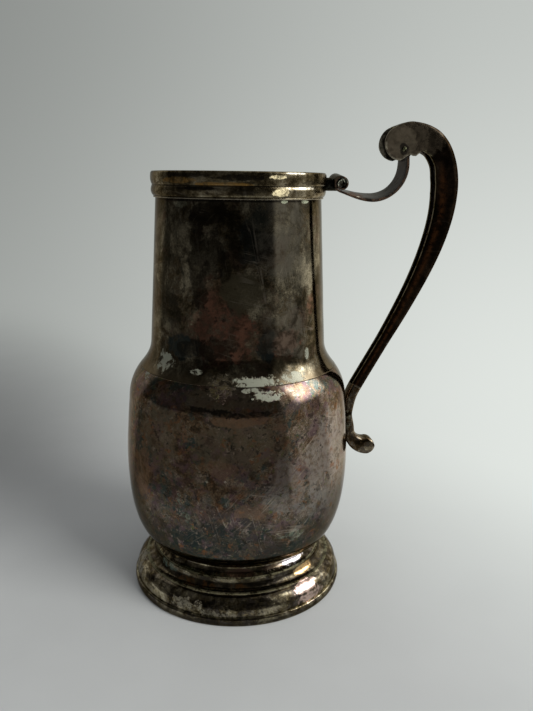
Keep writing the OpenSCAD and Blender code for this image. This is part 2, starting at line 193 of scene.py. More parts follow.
# turned pieces: the outline's points are spun into a skin with a slight hand-raised unevenness
def makeTurnedTree():
    sizes = [(name, "Float") for name in ("Wave Depth", "Wave Size", "Wave Stretch", "Dent Depth",
                                          "Dent Size", "Seed")]
    tree, gin, gout = startGroup(
        "turnedPiece", "GeometryNodeTree",
        [("Outline", "Geometry"), ("Around", "Int"), ("Along", "Int"), *sizes, ("Finish", "Material")],
        [("Skin", "Geometry")])
    tree.is_modifier = True
    grid = put(tree, "GeometryNodeMeshGrid", {"Size X": 1.0, "Size Y": 1.0, "Vertices X": gin["Around"],
                                              "Vertices Y": gin["Along"]})
    place = put(tree, "GeometryNodeInputPosition").outputs[0]
    flat = split(tree, place)
    last = calc(tree, "SUBTRACT", gin["Along"], 1.0)
    row = calc(tree, "ROUND", calc(tree, "MULTIPLY", calc(tree, "ADD", flat[1], 0.5), last))
    turn = calc(tree, "MULTIPLY", calc(tree, "ADD", flat[0], 0.5), 2 * math.pi)
    sample = put(tree, "GeometryNodeSampleIndex", {"Geometry": gin["Outline"], "Index": row},
                 data_type="FLOAT_VECTOR", domain="POINT")
    tree.links.new(place, sample.inputs["Value"])
    radius, _, height = split(tree, sample.outputs[0])
    cosine, sine = calc(tree, "COSINE", turn), calc(tree, "SINE", turn)

    def spun(r, z):
        return join(tree, calc(tree, "MULTIPLY", r, cosine), calc(tree, "MULTIPLY", r, sine), z)

    def uneven(size, depth, power, z):
        level = noise(tree, spun(radius, z), calc(tree, "DIVIDE", 1.0, size), 1.0, seed=gin["Seed"])
        return calc(tree, "MULTIPLY", calc(tree, "POWER", level, power), depth)

    drawnOut = calc(tree, "DIVIDE", height, gin["Wave Stretch"])
    drop = calc(tree, "ADD", uneven(gin["Wave Size"], gin["Wave Depth"], 1.0, drawnOut),
                uneven(gin["Dent Size"], gin["Dent Depth"], 4.0, height))
    fade = calc(tree, "DIVIDE", radius, axisFade, clamp=True)
    worn = calc(tree, "SUBTRACT", radius, calc(tree, "MULTIPLY", drop, fade))
    skin = grid.outputs["Mesh"]
    for step, inputs in (("SetPosition", {"Position": spun(worn, height)}),
                         ("MergeByDistance", {"Distance": weldGap}), ("RealizeInstances", {}),
                         ("SetMaterial", {"Material": gin["Finish"]})):
        skin = put(tree, "GeometryNode" + step, {"Geometry": skin, **inputs}).outputs[0]
    tree.links.new(skin, gout[0])
    return tree


turnedTree = makeTurnedTree()


def cleanMesh(mesh, sharpAngle):
    b = bmesh.new()
    b.from_mesh(mesh)
    bmesh.ops.remove_doubles(b, verts=b.verts, dist=weldGap)
    bmesh.ops.dissolve_degenerate(b, edges=b.edges, dist=weldGap / 2)
    bmesh.ops.triangulate(b, faces=[f for f in b.faces if len(f.verts) > 4])
    bmesh.ops.recalc_face_normals(b, faces=b.faces)
    for f in b.faces:
        f.smooth = True
    for e in b.edges:
        e.smooth = len(e.link_faces) != 2 or e.calc_face_angle(0.0) < sharpAngle
    b.to_mesh(mesh)
    b.free()
    mesh.update()


def finishPiece(mesh, name, finish, node, sharpAngle=0.7):
    cleanMesh(mesh, sharpAngle)
    piece = bpy.data.objects.new(name, mesh)
    scene.collection.objects.link(piece)
    if finish.name not in mesh.materials:
        mesh.materials.clear()
        mesh.materials.append(finish)
    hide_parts(node)
    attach(piece, "root")
    print(name, len(mesh.polygons), "faces")


def setMark(mesh, name, values):
    mesh.attributes.new(name, "FLOAT", "POINT").data.foreach_set("value", values)


def takeShape(holder):
    # the mesh that a helper shows with its modifiers; the helper is then removed
    shown = holder.evaluated_get(bpy.context.evaluated_depsgraph_get())
    mesh = bpy.data.meshes.new_from_object(shown)
    holder.modifiers.clear()
    bpy.data.objects.remove(holder)
    return mesh


def markInside(mesh):
    # the faces that look towards the axis, and the floor
    cleanMesh(mesh, 0.7)
    inside = []
    for v in mesh.vertices:
        x, y, z = v.co
        inward = -(v.normal.x * x + v.normal.y * y) / max(math.hypot(x, y), 1e-6)
        inside.append(1.0 if inward > 0.05 or (v.normal.z > 0.8 and z < 0.04) else 0.0)
    setMark(mesh, "inside", inside)


def turnPiece(name, outline, closed, look, finish, node):
    points = divide(soften(outline, look["edge"], closed), look["gap"], closed)
    draft = bpy.data.meshes.new(name + "Outline")
    draft.from_pydata([(p[0] * mm, 0, p[1] * mm) for p in points],
                      [(i, i + 1) for i in range(len(points) - 1)], [])
    holder = bpy.data.objects.new(name + "Holder", draft)
    scene.collection.objects.link(holder)
    spin = holder.modifiers.new("turned", "NODES")
    spin.node_group = turnedTree
    values = {"Around": look["around"] + 1, "Along": len(points), "Wave Depth": look["waveDepth"] * mm,
              "Wave Size": look["waveSize"] * mm, "Wave Stretch": look["waveStretch"],
              "Dent Depth": look["dentDepth"] * mm, "Dent Size": look["dentSize"] * mm,
              "Seed": look["seed"], "Finish": finish}
    for item in turnedTree.interface.items_tree:
        if item.in_out == "INPUT" and item.name in values:
            spin[item.identifier] = values[item.name]
    mesh = takeShape(holder)
    mesh.name = name
    if look.get("vessel"):
        markInside(mesh)
    finishPiece(mesh, name, finish, node)


# patches, mottling and scratches that every plated piece shares
def makeMottleGroup():
    # each layer: times finer than the patches, detail, roughness, distortion, shift of the seed, low, high
    layers = dict(Broad=(1.0, 5.0, 0.60, 0.8, 0.0, 0.34, 0.66),
                  Fine=(5.0, 7.0, 0.68, 0.4, 3.1, 0.30, 0.70),
                  Grain=(38.0, 3.0, 0.70, 0.0, 5.3, 0.28, 0.72),
                  Speck=(26.0, 3.0, 0.60, 0.0, 7.7, 0.62, 0.70),
                  Cloud=(2.2, 6.0, 0.62, 1.4, 11.9, 0.44, 0.60))
    tree, gin, gout = startGroup("tarnishMottle", "ShaderNodeTree",
                                 [("Vector", "Vector"), ("Patch Size", "Float"), ("Seed", "Float")],
                                 [(name, "Float") for name in layers])
    for name, (times, detail, rough, warp, shift, low, high) in layers.items():
        scale = calc(tree, "DIVIDE", times, gin["Patch Size"])
        seed = calc(tree, "ADD", gin["Seed"], shift)
        level = noise(tree, gin["Vector"], scale, detail, rough, warp, seed)
        tree.links.new(ease(tree, level, low, high), gout[name])
    return tree


# scratches run three ways: angle, how long and how fine
scratches = dict(runs=((0.25, 8, 150), (-0.8, 11, 170), (1.35, 7, 140)), unroll=0.05, warp=1.6,
                 line=(0.002, 0.013), gaps=(0.5, 0.66), gapScale=55.0, gapStep=23)


def makeScratchGroup():
    tree, gin, gout = startGroup("polishScratches", "ShaderNodeTree",
                                 [("Vector", "Vector"), ("Turn", "Float"), ("Seed", "Float")],
                                 [("Lines", "Float")])
    x, y, height = split(tree, gin["Vector"])
    around = calc(tree, "MULTIPLY", calc(tree, "ARCTAN2", y, x), scratches["unroll"])
    sheet = join(tree, around, height, gin["Seed"])
    found = []
    for k, (angle, long, fine) in enumerate(scratches["runs"]):
        turned = put(tree, "ShaderNodeVectorRotate",
                     {"Vector": sheet, "Angle": calc(tree, "ADD", gin["Turn"], angle)},
                     rotation_type="Z_AXIS").outputs[0]
        drawn = vector(tree, "MULTIPLY", turned, (long, fine, 1.0 + k))
        level = noise(tree, drawn, 1.0, 1.0, warp=scratches["warp"])
        off = calc(tree, "ABSOLUTE", calc(tree, "SUBTRACT", level, 0.5))
        gaps = noise(tree, sheet, scratches["gapScale"] + scratches["gapStep"] * k, 2.0)
        found.append(calc(tree, "MULTIPLY", ease(tree, off, *scratches["line"], 1.0, 0.0),
                          ease(tree, gaps, *scratches["gaps"])))
    tree.links.new(union(tree, found), gout["Lines"])
    return tree


def makeSpotGroup():
    places = [(name, "Vector") for name in ("Vector", "Centre", "Reach")]
    tree, gin, gout = startGroup("wornSpot", "ShaderNodeTree",
                                 [*places, ("Ragged", "Float"), ("Fineness", "Float")], [("Mask", "Float")])
    share = vector(tree, "DIVIDE", vector(tree, "SUBTRACT", gin["Vector"], gin["Centre"]), gin["Reach"])
    far = vector(tree, "LENGTH", share, out="Value")
    level = noise(tree, gin["Vector"], gin["Fineness"], 7.0, 0.68)
    edge = calc(tree, "MULTIPLY", calc(tree, "SUBTRACT", level, 0.5), gin["Ragged"])
    mask = ease(tree, calc(tree, "ADD", far, edge), 0.78, 1.0, 1.0, 0.0)
    tree.links.new(mask, gout["Mask"])
    return tree


mottleGroup, scratchGroup, spotGroup = makeMottleGroup(), makeScratchGroup(), makeSpotGroup()


def useGroup(tree, group, **inputs):
    # patchSize is given to the group's socket Patch Size
    named = {}
    for key, value in inputs.items():
        named["".join(" " + c if c.isupper() else c for c in key).title()] = value
    return put(tree, "ShaderNodeGroup", named, node_tree=group).outputs


def spotMask(tree, coords, spots, fineness):
    # the union of worn spots, each with a centre and a reach in millimetres, a raggedness and a strength
    masks = []
    for centre, reach, ragged, strength in spots:
        mask = useGroup(tree, spotGroup, vector=coords, centre=[c * mm for c in centre],
                        reach=[c * mm for c in reach], ragged=ragged, fineness=fineness)["Mask"]
        masks.append(calc(tree, "MULTIPLY", mask, strength))
    return union(tree, masks)


def bandMask(tree, height, bands):
    # soft rings at set heights: middle, half width, strength
    masks = []
    for middle, half, strength in bands:
        off = calc(tree, "ABSOLUTE", calc(tree, "SUBTRACT", height, middle * mm))
        masks.append(calc(tree, "MULTIPLY", ease(tree, off, 0.0, half * mm, 1.0, 0.0), strength))
    return union(tree, masks)


def coatMask(tree, coat, coords, height, mottle, lines):
    # where a coat lies: in spots, rings or scattered patches, on marked edges or below a height
    if "spots" in coat:
        mask = spotMask(tree, coords, coat["spots"], coat.get("fineness", 190.0))
    elif "bands" in coat:
        mask = bandMask(tree, height, coat["bands"])
    elif "mark" in coat:
        mask = put(tree, "ShaderNodeAttribute", attribute_name=coat["mark"]).outputs["Fac"]
    elif "patches" in coat:
        size, seed, low, high = coat["patches"]
        drawn = vector(tree, "MULTIPLY", coords, (1.0, 1.0, 1.0 / coat.get("stretch", 1.0)))
        mask = ease(tree, noise(tree, drawn, 1.0 / (size * mm), 7.0, 0.66, 0.5, seed), low, high)
    elif "heights" in coat:
        low, high = coat["heights"]
        mask = ease(tree, height, low * mm, high * mm, 1.0, 0.0)
    else:
        mask = mottle["Cloud"]
    if coat.get("scratched"):
        mask = calc(tree, "MULTIPLY", mask, lines)
    # mottling breaks it up
    low, high, least = coat.get("breakUp", (0.2, 0.7, 0.3))
    mask = calc(tree, "MULTIPLY", mask, ease(tree, mottle["Fine"], low, high, least, 1.0))
    return calc(tree, "MULTIPLY", mask, coat.get("amount", 1.0))


def makePlate(name, look):
    # tarnished plate: a film that runs through its tarnish colours, then coats, scratches and specks
    mat = bpy.data.materials.new(name)
    tree = emptyTree(mat)
    out = put(tree, "ShaderNodeOutputMaterial")
    skin = put(tree, "ShaderNodeBsdfPrincipled", {"Specular Tint": (*look["edgeTint"], 1.0)})
    tree.links.new(skin.outputs[0], out.inputs[0])
    coords = put(tree, "ShaderNodeTexCoord").outputs["Object"]
    height = split(tree, coords)[2]
    mottle = useGroup(tree, mottleGroup, vector=coords, patchSize=look["patchSize"] * mm, seed=look["seed"])
    lines = useGroup(tree, scratchGroup, vector=coords, turn=look["scratchTurn"], seed=look["seed"])["Lines"]
    film = calc(tree, "MULTIPLY_ADD", mottle["Broad"], look["broad"], 0.5 - 0.5 * look["broad"])
    for layer in ("Fine", "Grain"):
        part = calc(tree, "MULTIPLY", calc(tree, "SUBTRACT", mottle[layer], 0.5), look[layer.lower()])
        film = calc(tree, "ADD", film, part)
    colour = ramp(tree, film, look["film"])
    shade = calc(tree, "MULTIPLY_ADD", mottle["Grain"], look["grainDepth"], 1.0 - 0.5 * look["grainDepth"])
    colour = vector(tree, "MULTIPLY", colour, grey(tree, shade))
    rough = calc(tree, "MULTIPLY_ADD", mottle["Fine"], look["roughFine"], look["rough"])
    lift = calc(tree, "MULTIPLY", mottle["Fine"], look["bumpFine"])
    lift = calc(tree, "MULTIPLY_ADD", mottle["Grain"], look["bumpGrain"], lift)
    metal = None
    for coat in look["coats"]:
        mask = coatMask(tree, coat, coords, height, mottle, lines)
        colour = blend(tree, mask, colour, coat["colour"])
        rough = calc(tree, "MULTIPLY_ADD", mask, coat.get("rough", 0.0), rough)
        if coat.get("dull"):
            kept = calc(tree, "MULTIPLY_ADD", mask, -coat["dull"], 1.0)
            metal = kept if metal is None else calc(tree, "MINIMUM", metal, kept)
        if coat.get("lift"):
            lift = calc(tree, "MULTIPLY_ADD", mask, coat["lift"], lift)
    colour = blend(tree, calc(tree, "MULTIPLY", lines, look["scratchAmount"]), colour, look["scratch"])
    colour = blend(tree, calc(tree, "MULTIPLY", mottle["Speck"], look["speckAmount"]), colour, look["speck"])
    lift = calc(tree, "MULTIPLY_ADD", mottle["Speck"], look["bumpSpeck"], lift)
    lift = calc(tree, "MULTIPLY_ADD", lines, -look["bumpScratch"], lift)
    if metal is None:
        skin.inputs["Metallic"].default_value = 1.0
    else:
        tree.links.new(metal, skin.inputs["Metallic"])
    bump = put(tree, "ShaderNodeBump", {"Strength": 1.0, "Distance": mm, "Height": lift})
    tree.links.new(colour, skin.inputs["Base Color"])
    tree.links.new(calc(tree, "MINIMUM", rough, 0.8), skin.inputs["Roughness"])
    tree.links.new(bump.outputs[0], skin.inputs["Normal"])
    return mat


def flecks(colour, patches, amount, stretch=1.0):
    # a colour in scattered patches: their size, seed, low and high level
    return dict(colour=colour, patches=patches, stretch=stretch, amount=amount)


plateLook = dict(
    patchSize=26, seed=1.0, scratchTurn=0.0, broad=0.75, fine=0.45, grain=0.15, grainDepth=0.5,
    rough=0.10, roughFine=0.06, scratch=(0.30, 0.27, 0.22), scratchAmount=0.30,
    speck=(0.030, 0.026, 0.020), speckAmount=0.45, bumpFine=0.003, bumpGrain=0.0, bumpSpeck=-0.006,
    bumpScratch=0.003, edgeTint=(0.62, 0.58, 0.52), coats=[])
crust = dict(colour=(0.26, 0.27, 0.215), rough=0.34, dull=0.75, lift=0.05, fineness=330.0,
             breakUp=(0.16, 0.46, 0.1))
verdigris = dict(colour=(0.20, 0.235, 0.165), rough=0.32, dull=0.7, lift=0.03, breakUp=(0.30, 0.75, 0.0))
# bright bare silver, put where a glint or highlight falls: worn metal and painted glint
bareSilverAndGlint = dict(colour=(0.74, 0.69, 0.56), rough=0.05, breakUp=(0.15, 0.6, 0.3))
# near-black coat: black tarnish in some places, painted shade and dark reflection in others
blackTarnishAndShade = dict(colour=(0.022, 0.019, 0.015), breakUp=(0.0, 0.5, 0.35))
dullInside = dict(colour=(0.37, 0.33, 0.26), mark="inside", rough=0.3, dull=0.65, breakUp=(0.0, 0.9, 0.55))

# a rough brown blotch that lies across the seam
blotch = [dict(crust, colour=(0.014, 0.010, 0.005), breakUp=(0.25, 0.55, 0.0), lift=0.06,
               spots=[((-11.5, -47.5, 117.2), (6.2, 8, 5.4), 3.0, 0.95)]),
          dict(crust, colour=(0.062, 0.049, 0.021), breakUp=(0.52, 0.66, 0.0), fineness=520.0,
               spots=[((-12.5, -47.5, 116.6), (4.6, 8, 4.0), 3.4, 0.8)])]

neckPlate = makePlate("neckPlate", dict(
    plateLook, seed=2.3, rough=0.075, broad=0.95, fine=0.65, grainDepth=0.7,
    film=[(0.0, (0.024, 0.020, 0.012)), (0.28, (0.054, 0.044, 0.026)), (0.44, (0.118, 0.091, 0.054)),
          (0.50, (0.078, 0.070, 0.052)), (0.66, (0.150, 0.130, 0.086)), (0.95, (0.29, 0.26, 0.185))],
    coats=[flecks((0.022, 0.021, 0.015), (14, 2.0, 0.48, 0.56), 0.8, 3.0),
           flecks((0.105, 0.070, 0.052), (13, 6.0, 0.54, 0.61), 0.6),
           flecks((0.150, 0.142, 0.112), (6, 10.0, 0.58, 0.63), 0.45, 1.6),
           flecks((0.018, 0.015, 0.011), (3.5, 14.0, 0.57, 0.62), 0.6, 1.8),
           flecks((0.180, 0.150, 0.115), (2.2, 18.0, 0.62, 0.66), 0.5),
           dict(colour=(0.036, 0.017, 0.013), fineness=150.0, breakUp=(0.1, 0.7, 0.4), spots=[
               ((-12, -41, 140), (17, 12, 17), 2.2, 0.8), ((14, -40, 134), (12, 10, 8), 2.4, 0.6),
               ((14, 40, 142), (20, 14, 18), 2.2, 0.7)]),
           dict(colour=(0.022, 0.033, 0.034), fineness=120.0, breakUp=(0.1, 0.7, 0.4), spots=[
               ((-29, -32, 133), (9, 10, 7), 2.2, 0.9), ((8, -42, 133), (5, 9, 8), 2.4, 0.8),
               ((4, -41, 183), (8, 9, 14), 2.6, 0.6), ((30, 30, 180), (14, 14, 18), 2.6, 0.7)]),
           dict(colour=(0.250, 0.122, 0.080), fineness=300.0, breakUp=(0.15, 0.95, 0.12), spots=[
               ((-6, -42, 139), (12, 12, 12), 2.6, 0.9), ((-15, -39, 154.8), (6.5, 9, 10), 2.6, 0.75),
               ((-19, -38, 143.4), (7, 9, 9), 2.8, 0.5), ((18, -39, 135.1), (8.5, 9, 5.5), 3.0, 0.7),
               ((31, -29, 150.6), (3, 5, 5), 1.6, 0.6), ((30, 29, 150), (12, 14, 20), 1.6, 0.6),
               ((-20, 37, 142), (14, 10, 12), 1.6, 0.6)]),
           # pale patches on the right of the neck: painted reflection of the pale wall to the right
           dict(colour=(0.165, 0.152, 0.120), fineness=90.0, breakUp=(0.1, 0.8, 0.2), spots=[
               ((16, -38, 184), (13, 12, 22), 1.8, 0.75), ((18, -39, 140), (12, 12, 14), 2.2, 0.6)]),
           dict(colour=(0.30, 0.27, 0.22), scratched=True, breakUp=(0.0, 0.5, 0.5), spots=[
               ((14, -40, 165), (22, 14, 30), 0.8, 0.5), ((-10, 40, 165), (30, 14, 30), 0.8, 0.5)]),
           dict(colour=(0.080, 0.070, 0.044), breakUp=(0.0, 0.5, 0.6), spots=[
               ((-3, -42, 158.2), (10, 9, 10), 1.2, 0.9)]),
           dict(colour=(0.150, 0.118, 0.074), bands=[(117.5, 5.0, 0.8)], breakUp=(0.0, 0.7, 0.4)),
           # dark patches down the front of the neck: painted dark reflection of the room in front
           dict(blackTarnishAndShade, colour=(0.014, 0.011, 0.008), spots=[
               ((-21, -36, 168.9), (5, 9, 22), 2.2, 0.75), ((-26, -35, 131), (9, 9, 4), 2.0, 0.6),
               ((-16, -40, 133), (12, 9, 5), 2.4, 0.75), ((-16, -37, 192), (11, 9, 6), 2.6, 0.8),
               ((-16, -38, 173), (7, 9, 13), 2.6, 0.7)]),
           dict(blackTarnishAndShade, bands=[(197.5, 1.0, 0.95)], breakUp=(0.0, 0.4, 0.7)),
           *blotch,
           dict(crust, spots=[
               ((4, -47, 118.3), (12, 9, 2.6), 2.4, 1.0), ((-37, -25, 123.8), (5.5, 7, 4.6), 2.6, 0.95),
               ((-23, -39, 121.9), (3, 3.5, 1.5), 2.0, 0.9), ((29, -32, 128.1), (1.6, 2.4, 3), 1.6, 0.9),
               ((22, -42, 119.2), (7, 7, 2.2), 2.4, 0.6), ((-10, 46, 119.5), (14, 9, 3), 2.4, 0.9),
               ((40, 18, 121), (7, 9, 3), 2.4, 0.8)]),
           dict(verdigris, colour=(0.36, 0.39, 0.28), breakUp=(0.1, 0.5, 0.3), spots=[
               ((27.5, -31, 197.2), (2.6, 5, 1.0), 1.2, 0.9), ((16.5, -36.5, 197.2), (1.8, 5, 0.8), 1.2, 0.8),
               ((-29, -28, 195.7), (4, 6, 1.4), 2.8, 0.2), ((-8, 40, 197.2), (6, 5, 1.0), 1.6, 0.8)]),
           dullInside]))
bellyPlate = makePlate("bellyPlate", dict(
    plateLook, seed=5.1, patchSize=15, rough=0.055, broad=1.0, fine=0.9, grain=0.3, grainDepth=1.1,
    scratchAmount=0.22, scratch=(0.40, 0.34, 0.28),
    film=[(0.0, (0.084, 0.056, 0.034)), (0.25, (0.170, 0.114, 0.068)), (0.40, (0.220, 0.148, 0.092)),
          (0.48, (0.138, 0.120, 0.080)), (0.60, (0.180, 0.152, 0.104)), (0.72, (0.230, 0.166, 0.130)),
          (1.0, (0.31, 0.26, 0.20))],
    coats=[flecks((0.052, 0.078, 0.072), (17, 3.0, 0.49, 0.55), 0.9),
           flecks((0.270, 0.166, 0.112), (11, 7.0, 0.54, 0.59), 0.8),
           flecks((0.138, 0.080, 0.092), (12, 21.0, 0.51, 0.56), 0.75),
           # pale patches at the right of the belly and at the back: painted reflection of the pale wall
           dict(colour=(0.370, 0.335, 0.300), fineness=80.0, breakUp=(0.0, 0.7, 0.3), spots=[
               ((42, -38, 74), (19, 25, 30), 1.6, 0.8), ((16, -52, 70), (14, 10, 16), 2.2, 0.6),
               ((-40, 40, 76), (24, 25, 30), 1.8, 0.7)]),
           dict(colour=(0.185, 0.150, 0.100), fineness=80.0, breakUp=(0.0, 0.7, 0.3), spots=[
               ((-6, -54, 92), (26, 10, 12), 1.8, 0.75), ((-40, -40, 92), (12, 18, 14), 1.8, 0.6),
               ((-14, -50, 111.5), (22, 9, 5), 2.0, 0.85), ((10, 54, 92), (26, 12, 12), 1.8, 0.7)]),
           dict(colour=(0.085, 0.054, 0.054), fineness=90.0, breakUp=(0.0, 0.7, 0.3), spots=[
               ((-6, -55, 57), (20, 10, 8), 2.2, 0.7), ((-10, 54, 57), (26, 10, 8), 2.2, 0.7)]),
           # darker towards the bottom of the belly: painted shade and dark reflection below the bulge, in a
           # slate tint
           dict(colour=(0.025, 0.041, 0.040), heights=(32, 70), amount=0.95, breakUp=(0.1, 0.8, 0.5)),
           dict(colour=(0.030, 0.040, 0.037), fineness=110.0, breakUp=(0.1, 0.6, 0.4), spots=[
               ((-18, -50, 46), (22, 12, 10), 2.6, 0.8), ((20, 46, 46), (26, 14, 10), 2.6, 0.8)]),
           flecks((0.172, 0.112, 0.120), (9, 63.0, 0.55, 0.59), 0.6),
           flecks((0.036, 0.027, 0.019), (6, 11.0, 0.57, 0.60), 0.75),
           flecks((0.260, 0.116, 0.052), (5, 47.0, 0.57, 0.62), 0.75),
           flecks((0.150, 0.160, 0.052), (3.4, 41.0, 0.60, 0.64), 0.8),
           flecks((0.022, 0.023, 0.019), (2.6, 31.0, 0.57, 0.60), 0.75),
           flecks((0.360, 0.290, 0.230), (1.7, 37.0, 0.58, 0.61), 0.7),
           dict(colour=(0.50, 0.43, 0.36), scratched=True, breakUp=(0.0, 0.5, 0.5), spots=[
               ((38, -40, 82), (24, 24, 22), 0.8, 0.8), ((6, -54, 56), (34, 14, 18), 0.8, 0.6),
               ((-20, 52, 74), (40, 20, 26), 0.8, 0.45)]),
           dict(colour=(0.300, 0.185, 0.112), breakUp=(0.1, 0.6, 0.4), spots=[
               ((-8, -54, 102.9), (11, 7, 2.8), 1.8, 0.75), ((1, -55, 103.7), (9, 7, 2.8), 1.8, 0.65),
               ((-12, -55, 80.8), (9, 7, 4.5), 3.6, 0.40), ((-48, -30, 71.7), (6, 9, 15), 2.4, 0.6),
               ((2, -55, 60), (9, 6, 5), 2.8, 0.4), ((48, 28, 70), (12, 14, 18), 2.0, 0.5)]),
           dict(blackTarnishAndShade, rough=0.15, fineness=430.0, breakUp=(0.2, 0.45, 0.15), spots=[
               ((-24, -48, 107.4), (8, 6, 1.3), 3.0, 0.85), ((-14, -52, 107.0), (7, 6, 1.3), 3.0, 0.9),
               ((-5, -54, 105.3), (6, 6, 1.5), 3.0, 0.9), ((4, -54, 106.2), (7, 6, 1.3), 3.0, 0.85),
               ((20, 50, 106.5), (14, 8, 1.3), 3.0, 0.8)]),
           *blotch,
           dict(crust, spots=[
               ((9, -50.5, 113.1), (7, 8, 2.2), 2.6, 1.0), ((2, -50.5, 115.6), (5, 8, 1.0), 2.6, 0.9),
               ((-45, -20, 115.8), (2, 3, 2.5), 1.6, 0.8), ((-19, -54, 74.7), (0.9, 2.5, 0.7), 1.6, 0.5),
               ((-11, -56, 75.2), (0.7, 2.5, 0.5), 1.6, 0.5), ((14, 49, 114), (12, 8, 2.4), 2.6, 0.9)]),
           dict(verdigris, spots=[
               ((-31, -47, 63.6), (2.6, 5, 3), 3.2, 0.6), ((-29, -48, 54.2), (2.6, 5, 5), 3.2, 0.6),
               ((21, -51, 44.5), (7, 6, 3), 3.4, 0.5)]),
           dict(verdigris, bands=[(24.6, 1.2, 0.5)]),
           dullInside]))
rimPlate = makePlate("rimPlate", dict(
    plateLook, seed=7.4, patchSize=13, rough=0.15, fine=0.7, bumpFine=0.02, bumpGrain=0.012, grainDepth=0.8,
    film=[(0.0, (0.028, 0.022, 0.012)), (0.30, (0.072, 0.057, 0.031)), (0.50, (0.135, 0.110, 0.064)),
          (0.75, (0.205, 0.175, 0.112)), (1.0, (0.31, 0.275, 0.195))],
    coats=[flecks((0.024, 0.018, 0.011), (5, 3.0, 0.54, 0.60), 0.8, 0.35),
           dict(colour=(0.36, 0.21, 0.060), breakUp=(0.1, 0.7, 0.2), spots=[
               ((-12, -40, 204.3), (16, 12, 1.0), 1.8, 0.85), ((-29, -30, 205.9), (9, 12, 1.5), 2.0, 0.6),
               ((20, 37, 204.5), (16, 12, 1.1), 1.8, 0.7)]),
           dict(blackTarnishAndShade, rough=0.08, spots=[
               ((-22, -35, 202.6), (13, 12, 0.9), 2.2, 0.95), ((-4, -42, 207.1), (12, 8, 1.3), 2.8, 0.9),
               ((-2, -42, 201.2), (8, 8, 1.2), 2.4, 0.8), ((-24, -34, 208), (10, 12, 0.9), 2.6, 0.8),
               ((30, -29, 205.5), (8, 9, 1.2), 2.6, 0.6), ((4, 42, 203.2), (26, 12, 0.9), 2.2, 0.9)]),
           dict(blackTarnishAndShade, bands=[(203.6, 0.5, 0.8)], breakUp=(0.1, 0.6, 0.3)),
           dict(colour=(0.46, 0.42, 0.33), bands=[(198.2, 0.35, 0.9)], breakUp=(0.1, 0.5, 0.5)),
           # worn silver patches made pale and matte: painted highlight
           dict(bareSilverAndGlint, colour=(0.92, 0.80, 0.50), rough=0.3, dull=0.9, fineness=500.0, spots=[
               ((14.5, -39, 201), (4.6, 7, 1.9), 1.0, 0.95), ((13, -40, 207.6), (4.2, 6, 0.9), 1.6, 0.8),
               ((-10, 40, 202), (8, 7, 1.8), 1.4, 0.8), ((34, 24, 208), (8, 9, 1.2), 1.4, 0.8)]),
           # bare silver at the top edge and on the half-round: painted glint
           dict(bareSilverAndGlint, fineness=500.0, spots=[
               ((22, -36, 209.4), (6.5, 7, 0.8), 0.9, 0.6), ((26, -33, 203), (8, 9, 0.7), 2.6, 0.6)])]))
